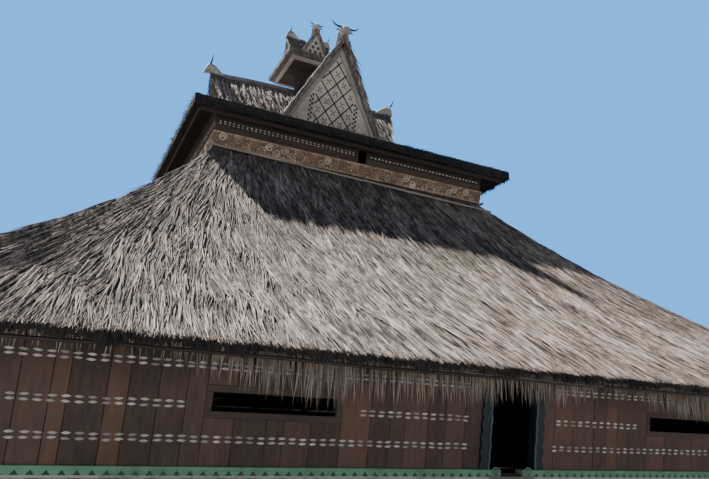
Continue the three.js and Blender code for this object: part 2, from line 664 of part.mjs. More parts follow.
// Tower: a boarded shaft through the crossing, a boarded soffit in a frame of beams, a thatched roof
const shaft = solid(box(-TOWER_BODY, TOWER_BODY, -TOWER_BODY, TOWER_BODY, TOWER_BODY_LOW,
  TOWER_FRAME_LOW + SOFFIT_INSET - GAP));
const shaftIn = TOWER_BODY - TOWER_BOARD;
const shaftRoom = solid(box(-shaftIn, shaftIn, -shaftIn, shaftIn, 12000, 14000));
piece('tower_body', shape(shaft.subtract(shaftRoom)), 'tower');
const frameInX = TOWER_FRAME_X - TOWER_BEAM - GAP;
const frameInY = TOWER_FRAME_Y - TOWER_BEAM - GAP;
piece('tower_soffit', box(-frameInX, frameInX, -frameInY, frameInY, TOWER_FRAME_LOW + SOFFIT_INSET,
  TOWER_FRAME_TOP), 'tower');
const frameRing = ring(TOWER_FRAME_X, TOWER_FRAME_Y, TOWER_BEAM, TOWER_FRAME_LOW, TOWER_FRAME_TOP);
piece('tower_frame', shape(frameRing), 'ridge');

const towerFoot = TOWER_EAVE_TOP - 20;
const smallGable = (reach) => ({
  nearApex: TOWER_APEX,
  farApex: TOWER_APEX,
  centre: TOWER_APEX,
  base: reach - (TOWER_APEX - towerFoot) * TOWER_GABLE_LEAN,
  foot: towerFoot,
  lean: TOWER_GABLE_LEAN,
  reach,
  pitch: (TOWER_APEX - towerFoot) / TOWER_GABLE_HALF,
});
const towerPrismY = (drop, grow) => solid(gablePrism(smallGable(TOWER_REACH_Y), drop, grow));
const towerPrismX = (drop, grow) => alongX(solid(gablePrism(smallGable(TOWER_REACH_X), drop, grow)));
const smallRecess = (prism) => prism(TOWER_THATCH, 100).subtract(prism(-10, -TOWER_OVERHANG));
const towerEaveLow = TOWER_FRAME_TOP + GAP;
const towerEave = solid(box(-TOWER_EAVE, TOWER_EAVE, -TOWER_EAVE, TOWER_EAVE, towerEaveLow, TOWER_EAVE_TOP))
  .add(solid(frustum(TOWER_EAVE, TOWER_EAVE, TOWER_EAVE_TOP - 5, 300, 300, TOWER_EAVE_TOP + 300)));
const towerGables = towerPrismY(0, 0).subtract(smallRecess(towerPrismY))
  .add(towerPrismX(0, 0).subtract(smallRecess(towerPrismX)));
piece('tower_roof', shape(towerEave.add(towerGables)), 'thatch');

// Tower ridge: boards over both ridges with a small head at each end
const capClip = solid(box(-150, 150, -2000, 2000, 14300, 15500));
const capY = towerPrismY(-RIDGE_BOARD, -RIDGE_BOARD).intersect(capClip);
const capX = towerPrismX(-RIDGE_BOARD, -RIDGE_BOARD).intersect(alongX(capClip));
const smallHeads = [
  [0, HEAD_INSET - TOWER_REACH_Y, TOWER_APEX, 0],
  [TOWER_REACH_X - HEAD_INSET, 0, TOWER_APEX, Math.PI / 2],
  [0, TOWER_REACH_Y - HEAD_INSET, TOWER_APEX, Math.PI],
  [HEAD_INSET - TOWER_REACH_X, 0, TOWER_APEX, -Math.PI / 2],
].map((place) => placed(buffaloHead(SMALL_HEAD_SIZE, SMALL_HORNS), ...place));
const roofTool = towerEave.add(towerPrismY(-GAP, GAP)).add(towerPrismX(-GAP, GAP));
const crown = smallHeads.reduce((all, head) => all.add(head), capY.add(capX)).subtract(roofTool);
piece('tower_ridge', shape(crown), 'ridge');

export default house;
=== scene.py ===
import math
from functools import partial

import bpy
import numpy as np
from mathutils import Matrix


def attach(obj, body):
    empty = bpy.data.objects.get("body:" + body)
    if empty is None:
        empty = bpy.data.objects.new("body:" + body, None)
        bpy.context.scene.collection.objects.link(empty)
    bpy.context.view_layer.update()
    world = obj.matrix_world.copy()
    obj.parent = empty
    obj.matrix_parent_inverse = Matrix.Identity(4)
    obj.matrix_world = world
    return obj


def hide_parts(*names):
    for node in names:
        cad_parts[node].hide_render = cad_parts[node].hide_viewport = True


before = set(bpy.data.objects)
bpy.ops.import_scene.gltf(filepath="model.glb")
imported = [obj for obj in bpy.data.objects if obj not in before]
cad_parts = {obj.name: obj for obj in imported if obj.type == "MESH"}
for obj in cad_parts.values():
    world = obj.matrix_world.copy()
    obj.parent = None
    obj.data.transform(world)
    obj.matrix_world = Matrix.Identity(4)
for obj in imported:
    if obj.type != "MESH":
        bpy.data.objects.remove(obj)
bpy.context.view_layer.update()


# Camera: from the ground in front of the house's left half, looking up and to the right at the roofs.
# Its place and turn come from fitting the house's edges to the photograph.
def placed(data, across, upright, back, place):
    """An object of data at place, with its X, Y and Z axes along across, upright and back."""
    thing = bpy.data.objects.new(data.name, data)
    turn = np.eye(4)
    turn[:3] = np.column_stack([across, upright, back, place])
    thing.matrix_world = Matrix(turn.tolist())
    bpy.context.scene.collection.objects.link(thing)
    return thing


view_place = (-6.4035, -17.1109, 1.8579)
view_yaw, view_pitch, view_roll = np.radians([25.97, 18.13, 1.44])
view_ahead = np.array([
    math.sin(view_yaw) * math.cos(view_pitch),
    math.cos(view_yaw) * math.cos(view_pitch),
    math.sin(view_pitch),
])
view_level = np.array([math.cos(view_yaw), -math.sin(view_yaw), 0.0])
view_upright = np.cross(view_level, view_ahead)
camera_data = bpy.data.cameras.new("camera")
camera_data.sensor_width = 36.0
camera_data.lens = 32.17
camera_data.clip_end = 400.0
bpy.context.scene.camera = placed(
    camera_data,
    math.cos(view_roll) * view_level + math.sin(view_roll) * view_upright,
    math.cos(view_roll) * view_upright - math.sin(view_roll) * view_level,
    -view_ahead,
    view_place,
)


# Ground: a plain pale sheet, wide enough for every view and 2 mm under the stones. It isn't part of
# the house.
def add_mesh(name, groups, smooth=False):
    """One mesh object from groups of (points, faces, tone). faces is one array of faces of like width,
    or a list of them; tone is one number for each run of points, kept as the attribute "tone"."""
    corners, totals, tones, all_points, first = [], [], [], [], 0
    for points, faces, tone in groups:
        points = np.asarray(points, float).reshape(-1, 3)
        tone = np.atleast_1d(np.asarray(tone, float)).ravel()
        for part in faces if isinstance(faces, list) else [faces]:
            part = np.asarray(part)
            corners.append((part + first).ravel())
            totals.append(np.full(len(part), part.shape[1]))
        tones.append(np.repeat(tone, len(points) // len(tone)))
        all_points.append(points)
        first += len(points)
    corners = np.concatenate(corners).astype(np.int32)
    totals = np.concatenate(totals).astype(np.int32)
    mesh = bpy.data.meshes.new(name)
    mesh.vertices.add(first)
    mesh.vertices.foreach_set("co", np.concatenate(all_points).ravel())
    mesh.loops.add(len(corners))
    mesh.loops.foreach_set("vertex_index", corners)
    mesh.polygons.add(len(totals))
    mesh.polygons.foreach_set("loop_start", np.cumsum(totals) - totals)
    mesh.polygons.foreach_set("loop_total", totals)
    mesh.polygons.foreach_set("use_smooth", np.full(len(totals), smooth))
    layer = mesh.attributes.new("tone", "FLOAT", "POINT")
    layer.data.foreach_set("value", np.concatenate(tones).astype(np.float32))
    mesh.update()
    if smooth:
        mesh.set_sharp_from_angle(angle=math.radians(50))
    thing = bpy.data.objects.new(name, mesh)
    bpy.context.scene.collection.objects.link(thing)
    return thing


ground_half = 90.0
ground_corners = np.array([[-1, -1, 0], [1, -1, 0], [1, 1, 0], [-1, 1, 0]]) * ground_half
ground = add_mesh("ground", [(ground_corners - [0, 0, 0.002], np.array([[0, 1, 2, 3]]), 0.5)])
ground_paint = bpy.data.materials.new("pale_ground")
ground_paint.use_nodes = True
ground_shader = ground_paint.node_tree.nodes["Principled BSDF"].inputs
ground_shader["Base Color"].default_value = (0.30, 0.31, 0.33, 1)
ground_shader["Roughness"].default_value = 0.9
ground.data.materials.append(ground_paint)


# Light: a plain blue sky behind the house and a dimmer one that lights it, the sun high behind the left
# corner, where its shadows on the thatch put it, and a weak broad lamp in front.
def feed(tree, inputs, **sockets):
    """Gives inputs of a node, by name with _ for a space or as in_0, in_1 and so on, their values or the
    outputs that feed them."""
    for key, value in sockets.items():
        socket = inputs[int(key[3:])] if key.startswith("in_") else inputs[key.replace("_", " ")]
        if isinstance(value, bpy.types.NodeSocket):
            tree.links.new(value, socket)
        else:
            socket.default_value = value


def add_node(tree, kind, settings=None, **sockets):
    """A node in tree: settings are its properties, and sockets its inputs as feed takes them."""
    node = tree.nodes.new(kind)
    for key, value in (settings or {}).items():
        setattr(node, key, value)
    feed(tree, node.inputs, **sockets)
    return node


def blended(tree, factor, first, second):
    """The colour between first and second by factor."""
    settings = {"data_type": "RGBA"}
    return add_node(tree, "ShaderNodeMix", settings, in_0=factor, in_6=first, in_7=second).outputs[2]


sky_that_lights, sky_in_view = (0.062, 0.126, 0.232, 1), (0.14, 0.68, 1.66, 1)
world = bpy.data.worlds.new("sky")
world.use_nodes = True
sky_seen = add_node(world.node_tree, "ShaderNodeLightPath").outputs["Is Camera Ray"]
sky_colour = blended(world.node_tree, sky_seen, sky_that_lights, sky_in_view)
feed(world.node_tree, world.node_tree.nodes["Background"].inputs, Color=sky_colour)
bpy.context.scene.world = world


def unit(vectors):
    """Each vector divided by its length."""
    return vectors / np.linalg.norm(vectors, axis=-1, keepdims=True)


def aimed_lamp(name, kind, place, target, power, colour):
    """A lamp of the given kind at place, turned towards target. Returns its data, to set its size."""
    data = bpy.data.lights.new(name, kind)
    data.energy = power
    data.color = colour
    away = unit(np.subtract(place, target, dtype=float))
    across = unit(np.cross([0, 0, 1], away))
    placed(data, across, np.cross(away, across), away, place)
    return data


aimed_lamp("sun_lamp", "SUN", (-0.44, 0.55, 1.0), (0, 0, 0), 13.0, (1.0, 0.94, 0.88)).angle = 0.025
aimed_lamp("front_lamp", "AREA", (-20, -50, 4), (0, 0, 2), 3900, (1.0, 0.93, 0.86)).size = 30


# Stones and posts: twenty hardwood posts in five rows, each standing loose on a broad river stone. The
# posts are hewn round with an adze, and a rail is passed through each row and wedged.
def skins(rings, tone):
    """Closed skins over rings of points, an array (pieces, stations, corners, 3), as a group with its
    tone. Four-sided faces join each ring to the next one, and one face shuts each end. Rings turn
    anticlockwise about the path."""
    pieces, stations, count = rings.shape[:3]
    j = np.arange(count)
    first = np.arange(pieces)[:, None] * stations * count
    ring = first[:, :, None] + np.arange(stations - 1)[None, :, None] * count
    following = (j + 1) % count
    around = np.stack([ring + j, ring + following, ring + count + following, ring + count + j], -1)
    low = first + j[::-1]
    high = first + (stations - 1) * count + j
    return rings.reshape(-1, 3), [around.reshape(-1, 4), low, high], tone


def carried(paths, across, upward, outline, tone):
    """Closed skins from an outline carried along paths (pieces, stations, 3), or along one path, as a
    group with its tone. A point is the path's point + across * the outline's first number + upward *
    its second; across x upward runs ahead."""
    paths = np.asarray(paths, float)
    paths = paths.reshape(-1, *paths.shape[-2:])
    outline = np.broadcast_to(outline, (*paths.shape[:2], *np.shape(outline)[-2:]))
    across = np.broadcast_to(across, paths.shape)[:, :, None]
    upward = np.broadcast_to(upward, paths.shape)[:, :, None]
    return skins(paths[:, :, None] + across * outline[..., :1] + upward * outline[..., 1:], tone)


def plank_outline(width, depth, bevel):
    """A rectangle with cut corners, anticlockwise: eight points (first number across, second up)."""
    x, y = width / 2, depth / 2
    return np.array([
        (x, bevel - y), (x, y - bevel), (x - bevel, y), (bevel - x, y),
        (-x, y - bevel), (-x, bevel - y), (bevel - x, -y), (x - bevel, -y),
    ])


def paint(red, green, blue):
    """A colour given as 0 to 255 on screen, as the linear red, green, blue, alpha that shaders take."""
    levels = np.array([red, green, blue]) / 255
    linear = np.where(levels < 0.04045, levels / 12.92, ((levels + 0.055) / 1.055) ** 2.4)
    return (*linear.tolist(), 1.0)


def worked(tree, operation, first, second=0.0, third=0.0, clamp=False):
    """The output of a Math node."""
    settings = {"operation": operation, "use_clamp": clamp}
    return add_node(tree, "ShaderNodeMath", settings, in_0=first, in_1=second, in_2=third).outputs[0]


def ramp(tree, factor, *stops):
    """The colour at factor on a ramp with evenly spread stops, given as colours on screen."""
    node = add_node(tree, "ShaderNodeValToRGB", in_0=factor)
    for position in np.linspace(0, 1, len(stops))[1:-1]:
        node.color_ramp.elements.new(float(position))
    for element, colour in zip(node.color_ramp.elements, stops):
        element.color = paint(*colour)
    return node.outputs[0]


def new_group(name, inputs, outputs):
    """A shader node group with its two end nodes. inputs are {name: default}, outputs are {name: any
    value}: a number, a colour or None, for a vector, gives the kind."""
    group = bpy.data.node_groups.new(name, "ShaderNodeTree")
    for way, sockets in (("INPUT", inputs), ("OUTPUT", outputs)):
        for label, value in sockets.items():
            kind = {tuple: "Color", float: "Float"}.get(type(value), "Vector")
            socket = group.interface.new_socket(label, in_out=way, socket_type=f"NodeSocket{kind}")
            if value is not None:
                socket.default_value = value
    return group, group.nodes.new("NodeGroupInput").outputs, group.nodes.new("NodeGroupOutput").inputs


def use_group(tree, group, **sockets):
    """The group placed in a material, its inputs given as values or as the outputs that feed them."""
    return add_node(tree, "ShaderNodeGroup", {"node_tree": group}, **sockets).outputs


# The grain of wood and straw: long streaks with finer ones in them. Stretch presses them along each axis.
grain, grain_in, grain_out = new_group(
    "grain", {"Vector": None, "Stretch": None}, {"Streaks": 0.0, "Height": 0.0},
)
grain_place = add_node(grain, "ShaderNodeVectorMath", {"operation": "MULTIPLY"},
                       in_0=grain_in["Vector"], in_1=grain_in["Stretch"]).outputs[0]
grain_wide = add_node(grain, "ShaderNodeTexNoise", Vector=grain_place, Scale=1.0, Detail=5.0,
                      Roughness=0.65).outputs[0]
grain_fine = add_node(grain, "ShaderNodeTexNoise", Vector=grain_place, Scale=7.0, Detail=3.0).outputs[0]
grain_height = worked(grain, "MULTIPLY_ADD", grain_fine, 0.4, grain_wide)
feed(grain, grain_out, Streaks=grain_wide, Height=grain_height)

# Weather: rain, smoke and moss stain a colour in patches of the given size. The mask is given too.
weather, weather_in, weather_out = new_group(
    "weather", {"Vector": None, "Color": paint(128, 128, 128), "Stain": paint(50, 45, 40),
                "Amount": 0.5, "Size": 1.0},
    {"Color": (0.0, 0.0, 0.0, 1.0), "Mask": 0.0},
)
weather_spots = add_node(weather, "ShaderNodeTexNoise", Vector=weather_in["Vector"],
                         Scale=weather_in["Size"], Detail=6.0, Roughness=0.7).outputs[0]
weather_patch = add_node(weather, "ShaderNodeMapRange", in_0=weather_spots, in_1=0.42, in_2=0.68).outputs[0]
weather_mask = worked(weather, "MULTIPLY", weather_patch, weather_in["Amount"])
weather_colour = blended(weather, weather_mask, weather_in["Color"], weather_in["Stain"])
feed(weather, weather_out, Color=weather_colour, Mask=weather_mask)


def start_material(name):
    """A new material: itself, its node tree, its Principled shader's inputs and Object coordinates."""
    material = bpy.data.materials.new(name)
    material.use_nodes = True
    tree = material.node_tree
    place = add_node(tree, "ShaderNodeTexCoord").outputs["Object"]
    return material, tree, tree.nodes["Principled BSDF"].inputs, place


def stained_colour(tree, place, colour, stain, amount, size):
    """The colour with stains over it in patches of the given size."""
    stain = paint(*stain)
    weathered = use_group(tree, weather, Vector=place, Color=colour, Stain=stain, Amount=amount, Size=size)
    return weathered["Color"]


def finish(tree, shader, colour, rough, height, relief, depth):
    """Feeds the shader's colour and roughness, and the height as a bump of the given strength."""
    bump = add_node(tree, "ShaderNodeBump", Height=height, Strength=relief, Distance=depth).outputs[0]
    feed(tree, shader, Base_Color=colour, Roughness=rough, Normal=bump)


def wood(name, stops, stain, stretch, tone=None, rough=0.8, stained=0.4, patch=1.2, relief=0.3, vary=0.9,
         painted_shade=None):
    """A weathered wood. stops are its colours from dark to light, chosen by the points' tone, or by the
    tone given for a whole piece, together with the grain; stretch presses the grain along X, Y, Z. The
    last argument gives the heights between which the wood is painted darker, as painted shade under an
    eave, and how dark."""
    material, tree, shader, place = start_material(name)
    grained = use_group(tree, grain, Vector=place, Stretch=stretch)
    if tone is None:
        tone = add_node(tree, "ShaderNodeAttribute", {"attribute_name": "tone"}).outputs["Fac"]
    swing = worked(tree, "MULTIPLY_ADD", grained["Streaks"], vary, -vary / 2)
    colour = ramp(tree, worked(tree, "ADD", swing, tone, clamp=True), *stops)
    colour = stained_colour(tree, place, colour, stain, stained, patch)
    # Painted shade: the wood darkens towards the upper of the two heights, standing in for the shade under
    # the eave
    if painted_shade:
        height = add_node(tree, "ShaderNodeSeparateXYZ", in_0=place).outputs[2]
        reach = add_node(tree, "ShaderNodeMapRange", in_0=height, in_1=painted_shade[0], in_2=painted_shade[1]).outputs[0]
        colour = blended(tree, worked(tree, "MULTIPLY", reach, painted_shade[2]), colour, paint(24, 20, 18))
    rough = worked(tree, "MULTIPLY_ADD", grained["Streaks"], 0.25, rough - 0.12)
    finish(tree, shader, colour, rough, grained["Height"], relief, 0.01)
    return material


def add_piece(name, groups, material, slot, *nodes, smooth=False):
    """A new piece from groups as add_mesh takes them. It gets its material, rides on the house and
    stands for the CAD nodes named."""
    thing = add_mesh(name, groups, smooth)
    thing.data.materials.append(material)
    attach(thing, "root")
    if nodes:
        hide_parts(*nodes)


def dress(node, material):
    """A CAD node that keeps its shape gets a material."""
    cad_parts[node].data.materials.clear()
    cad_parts[node].data.materials.append(material)


chance = np.random.default_rng(11)
stone_top, stone_wide, post_wide, post_top = 0.23, 0.32, 0.197, 1.05
post_rows = [f"post_row_{row}" for row in range(1, 6)]
post_x = np.array([-7.40, -2.467, 2.467, 7.40])
post_y = 9.19 * np.array([-1, -0.5, 0, 0.5, 1])
feet = np.stack(np.meshgrid(post_x, post_y), -1).reshape(-1, 1, 1, 2)
turn = np.linspace(0, 2 * np.pi, 24, endpoint=False)
lobes = chance.uniform(0, 2 * np.pi, (3, len(feet), 1, 1))


def about_feet(radius, height, tone):
    """Skins of rings about every foot: the foot + radius * the cosine and sine of the turn, at height."""
    spots = feet + radius[..., None] * np.stack([np.cos(turn), np.sin(turn)], -1)
    return skins(np.concatenate([spots, np.broadcast_to(height, radius.shape)[..., None]], -1), tone)


stone_height = stone_top * np.array([0, 0.12, 0.35, 0.6, 0.8, 0.93, 1.0])[None, :, None]
stone_radius = stone_wide * np.array([0.93, 1, 0.99, 0.96, 0.9, 0.83, 0.74])[None, :, None]
stone_radius = stone_radius * (1 + 0.04 * np.sin(2 * turn + lobes[0]) + 0.03 * np.sin(3 * turn + lobes[1])
                               + 0.02 * np.sin(5 * turn + lobes[2] + 9 * stone_height))
river_stone = wood("river_stone", [(92, 88, 82), (138, 133, 125), (170, 165, 156)], (72, 74, 62), (9, 9, 9),
                   rough=0.85, stained=0.5, patch=3.0, relief=0.5)
add_piece("stones", [about_feet(stone_radius, stone_height, tone=chance.uniform(0.3, 0.7, len(feet)))],
          river_stone, "post", *post_rows, smooth=True)

post_height = np.linspace(stone_top - 0.015, post_top, 9)[None, :, None]
post_radius = post_wide * (1 + 0.012 * np.sin(6 * turn + lobes[0] + 7 * post_height)
                       + 0.02 * np.sin(2 * turn + lobes[1]) + 0.01 * np.sin(11 * post_height + lobes[2]))
dark_browns = [(48, 40, 35), (84, 70, 60), (122, 104, 88)]
post_wood = wood("post_wood", dark_browns, (40, 36, 32), (14, 14, 1.2))
add_piece("posts", [about_feet(post_radius, post_height, tone=chance.uniform(0.3, 0.7, len(feet)))],
          post_wood, "post", *post_rows, smooth=True)

up = np.array([0.0, 0.0, 1.0])
rail_half, rail_height = 7.82, 0.62
rail_ends = np.array([[(-rail_half, y, rail_height), (rail_half, y, rail_height)] for y in post_y])
rail_wood = wood("rail_wood", dark_browns, (40, 36, 32), (1.0, 14, 14))
rail_outline = plank_outline(0.13, 0.20, 0.012)
rails = carried(rail_ends, (0, 1, 0), up, rail_outline, tone=chance.uniform(0.3, 0.7, len(post_y)))
add_piece("rails", [rails], rail_wood, "post", *post_rows)

# Sills: four heavy beams on the posts, the outer faces limed white and painted with curls in black,
# ochre and red brown. The paint is worn through to grey wood in patches.
sides = {
    "front": (np.array([1.0, 0, 0]), np.array([0, -1.0, 0])),
    "right": (np.array([0, 1.0, 0]), np.array([1.0, 0, 0])),
    "back": (np.array([-1.0, 0, 0]), np.array([0, 1.0, 0])),
    "left": (np.array([0, -1.0, 0]), np.array([-1.0, 0, 0])),
}
long_sides = ("front", "back")


def by_side(front, right):
    """A measure for each side: the back is like the front, and the left like the right."""
    return {"front": front, "right": right, "back": front, "left": right}


def spot(side, s, out, z):
    """Points seen from one side: s along it, out from the middle of the house, z up."""
    along, outward = sides[side]
    s, out, z = np.broadcast_arrays(np.asarray(s, float), np.asarray(out, float), np.asarray(z, float))
    return s[..., None] * along + out[..., None] * outward + z[..., None] * up


sill_half, sill_out, sill_height = by_side(7.81, 9.035), by_side(9.19, 7.40), 1.26
sill_outline = plank_outline(0.418, 0.30, 0.016)
sill_stations = 30
sill_groups = []
for side, (along, outward) in sides.items():
    s = np.linspace(-sill_half[side], sill_half[side], sill_stations)
    hewn = sill_outline + chance.uniform(-0.003, 0.003, (1, sill_stations, *sill_outline.shape))
    sill_groups.append(carried(spot(side, s, sill_out[side], sill_height), up, outward, hewn, tone=0.5))

# The painted curls: in every cell of the given pitch along a beam a curl turns inwards, every other one
# mirrored. The stroke lies where angle / 2 pi + 2 * turns * distance from the middle has a fraction
# under 0.42. Outputs the stroke, dots between the curls and a number that differs from cell to cell.
curls, curls_in, curls_out = new_group(
    "curls", {"Along": 0.0, "Height": 0.0, "Pitch": 0.4, "Turns": 2.6},
    {"Stroke": 0.0, "Dot": 0.0, "Cell": 0.0},
)
calc = partial(worked, curls)
curls_cell = calc("DIVIDE", curls_in["Along"], curls_in["Pitch"])
curls_number = calc("FLOOR", curls_cell)
curls_x = calc("SUBTRACT", calc("FRACT", curls_cell), 0.5)
curls_y = calc("DIVIDE", curls_in["Height"], curls_in["Pitch"])
curls_flip = calc("MULTIPLY_ADD", calc("FLOORED_MODULO", curls_number, 2.0), 2.0, -1.0)
curls_angle = calc("ARCTAN2", calc("MULTIPLY", curls_y, curls_flip), curls_x)
curls_far = calc("SQRT", calc("MULTIPLY_ADD", curls_x, curls_x, calc("MULTIPLY", curls_y, curls_y)))
curls_turned = calc("MULTIPLY", curls_far, calc("MULTIPLY", curls_in["Turns"], 2.0))
curls_wind = calc("MULTIPLY_ADD", curls_angle, 0.159, curls_turned)
curls_band = calc("LESS_THAN", calc("FRACT", curls_wind), 0.42)
curls_near = calc("LESS_THAN", curls_far, 0.47)
curls_noise = add_node(curls, "ShaderNodeTexWhiteNoise", {"noise_dimensions": "1D"}, W=curls_number)
feed(curls, curls_out, Stroke=calc("MULTIPLY", curls_band, curls_near),
     Dot=calc("GREATER_THAN", curls_far, 0.60), Cell=curls_noise.outputs[0])

curl_line = 1.27
limed, tree, shader, place = start_material("limed_and_painted")
limed_x, limed_y, limed_z = add_node(tree, "ShaderNodeSeparateXYZ", in_0=place).outputs
limed_curls = use_group(tree, curls, Along=worked(tree, "ADD", limed_x, limed_y),
                        Height=worked(tree, "SUBTRACT", limed_z, curl_line), Pitch=0.40)
limed_grain = use_group(tree, grain, Vector=place, Stretch=(2, 2, 14))
limed_ink = ramp(tree, limed_curls["Cell"], (52, 48, 46), (128, 74, 52), (150, 112, 62), (60, 52, 48))
limed_white = ramp(tree, limed_grain["Streaks"], (150, 148, 138), (206, 204, 192), (222, 220, 210))
limed_drawn = blended(tree, limed_curls["Stroke"], limed_white, limed_ink)
limed_dotted = blended(tree, limed_curls["Dot"], limed_drawn, paint(96, 62, 48))
limed_worn = stained_colour(tree, place, limed_dotted, (98, 90, 80), 0.75, 3.2)
finish(tree, shader, limed_worn, 0.85, limed_grain["Height"], 0.3, 0.008)
add_piece("sills", sill_groups, limed, "sill", "sill_front", "sill_back", "sill_left", "sill_right")


# Painted strips: a green board lies on each sill and carries the wall. Dark green points stand in a row
# along its lower half, under each door it is cut down and worn grey with use, and a curl ends it there.
def boards(corners, ahead, depth, bevel, tone):
    """Boards with cut edges. corners (pieces, n, 3), or (n, 3) for one, are the front outlines,
    anticlockwise from in front; ahead is the direction of the front and depth the thickness behind."""
    corners = np.asarray(corners, float)
    corners = corners.reshape(-1, *corners.shape[-2:])
    edge = unit(np.roll(corners, -1, 1) - corners)
    inner = corners + bevel * (edge - np.roll(edge, 1, 1))
    ahead = np.broadcast_to(ahead, corners.shape)
    rings = [inner - ahead * depth, corners - ahead * (depth - bevel), corners - ahead * bevel, inner]
    return skins(np.stack(rings, 1), tone)


def oblong(left, right, low, high):
    """The corners of upright oblongs, anticlockwise: how far along the side, and their heights."""
    left, right, low, high = np.broadcast_arrays(left, right, low, high)
    return np.stack([left, right, right, left], -1), np.stack([low, low, high, high], -1)


def heading(path):
    """The direction of a path at each of its points."""
    return unit(np.gradient(path, axis=-2))


notch = 0.20
strip_low, strip_worn, strip_high = 1.4703, 1.51, 1.5997
strip_out = by_side(9.375, 7.585)
strip_parts = by_side(
    [(-7.585, -notch, strip_high), (-notch, notch, strip_worn), (notch, 7.585, strip_high)],
    [(-9.19, 9.19, strip_high)],
)
strip_groups = []
for side, (along, outward) in sides.items():
    for left, right, high in strip_parts[side]:
        s, z = oblong(left, right, strip_low, high)
        strip_groups.append(boards(spot(side, s, strip_out[side], z), outward, 0.18, 0.008, tone=0.5))

point_pitch, point_foot, point_height = 0.15, 1.502, 0.056
green, tree, shader, place = start_material("green_with_points")
green_x, green_y, green_z = add_node(tree, "ShaderNodeSeparateXYZ", in_0=place).outputs
calc = partial(worked, tree)
green_along = calc("DIVIDE", calc("ADD", green_x, green_y), point_pitch)
green_off = calc("ABSOLUTE", calc("SUBTRACT", calc("FRACT", green_along), 0.5))
green_climb = calc("DIVIDE", calc("SUBTRACT", green_z, point_foot), point_height)
green_point = calc("LESS_THAN", calc("MULTIPLY_ADD", green_off, 3.4, green_climb), 1.0)
green_grain = use_group(tree, grain, Vector=place, Stretch=(1.5, 1.5, 16))
green_light = ramp(tree, green_grain["Streaks"], (84, 138, 100), (108, 165, 122), (134, 184, 146))
green_pointed = blended(tree, green_point, green_light, paint(32, 72, 53))
green_drawn = blended(tree, calc("LESS_THAN", green_z, point_foot), green_pointed, paint(186, 184, 172))
green_near_door = calc("LESS_THAN", calc("ABSOLUTE", green_x), 0.42)
green_trodden = calc("MULTIPLY", green_near_door, calc("LESS_THAN", green_z, 1.52))
green_bare = blended(tree, calc("MULTIPLY", green_trodden, 0.8), green_drawn, paint(104, 100, 92))
green_worn = stained_colour(tree, place, green_bare, (92, 92, 80), 0.55, 4.0)
finish(tree, shader, green_worn, 0.6, green_grain["Height"], 0.25, 0.006)
add_piece("strips", strip_groups, green, "strip", *[f"painted_strip_{side}" for side in sides])

scroll_line = 1.558
scroll_turn = np.linspace(0, 3.5 * np.pi, 30)
scroll_size = 0.076 * (1 - 0.78 * scroll_turn / scroll_turn[-1])
scroll_groups = []
for side in long_sides:
    outward = sides[side][1]
    for hand in (-1, 1):
        s = hand * (notch + 0.088 + scroll_size * np.cos(scroll_turn))
        path = spot(side, s, strip_out[side] + 0.003, scroll_line + scroll_size * np.sin(scroll_turn))
        beside = np.cross(outward, heading(path))
        scroll_groups.append(carried(path, beside, outward, plank_outline(0.022, 0.020, 0.005), tone=0.5))
scroll_wood = wood("scroll_wood", [(78, 100, 90), (120, 146, 132), (152, 172, 158)], (86, 92, 80), (9, 9, 9))
add_piece("strip_scrolls", scroll_groups, scroll_wood, "strip", smooth=True)

# Floor: hewn beams and joists carry a floor of wide bare boards, worn smooth and grey with dust. Both
# keep the CAD's shape.
floor_wood = wood("floor_wood", dark_browns, (60, 54, 48), (10, 1.0, 10), tone=0.5)
board_wood = wood("floor_board_wood", [(58, 46, 38), (92, 74, 60), (120, 100, 82)], (70, 64, 56), (9, 0.7, 9),
                  tone=0.5, rough=0.6)
dress("floor_frame", floor_wood)
dress("floor_boards", board_wood)


# Plank walls: broad hand-sawn planks of uneven width stand on the strips and lean outwards by ten
# degrees. The window openings are low slots with a board along each edge.
class LeaningFace:
    """A leaning face on each side of the house. At height z it is out by base + (z - foot) * lean, and
    its boards end at the slanting corners, ends + (z - foot) * lean along the side."""

    def __init__(self, base, ends, foot, lean):
        self.base, self.ends, self.foot, self.lean = base, ends, foot, lean

    def ahead(self, side):
        """The direction that the face looks in."""
        return (sides[side][1] - self.lean * up) / math.hypot(1, self.lean)

    def point(self, side, s, z, lift=0.0):
        """Points on the face, s along the side and z up, lifted off it."""
        out = self.base[side] + (np.asarray(z, float) - self.foot) * self.lean
        return spot(side, s, out, z) + lift * self.ahead(side)

    def boards(self, side, left, right, low, high, depth, lift, bevel=0.005, *, tone):
        """Upright boards on the face, cut to its slanting corners."""
        s, z = oblong(left, right, low, high)
        corner = self.ends[side] + (z - self.foot) * self.lean
        corners = self.point(side, np.clip(s, -corner, corner), z, lift)
        return boards(corners, self.ahead(side), depth, bevel, tone)


wall_low = 1.6
wall_end, wall_top = by_side(7.548, 9.277), by_side(3.229, 3.336)
walls = LeaningFace(by_side(9.34, 7.55), wall_end, wall_low, math.tan(math.radians(10)))
windows = by_side((-3.68, 3.68), (-3.3, 3.3))
window_half, window_low, window_high, frame_wide = 0.81, 2.22, 2.44, 0.08
door_half, door_frame_top = 0.565, 3.05
past_corner = 9.9
plank_deep, frame_deep = 0.058, 0.066
plank_foot = wall_low - 0.006


def plank_edges(start, stop):
    """Edges of planks 0.2 to 0.48 m wide from start to stop."""
    count = max(1, round((stop - start) / 0.34))
    widths = chance.uniform(0.2, 0.48, count)
    return start + (stop - start) * np.concatenate([[0], np.cumsum(widths) / widths.sum()])


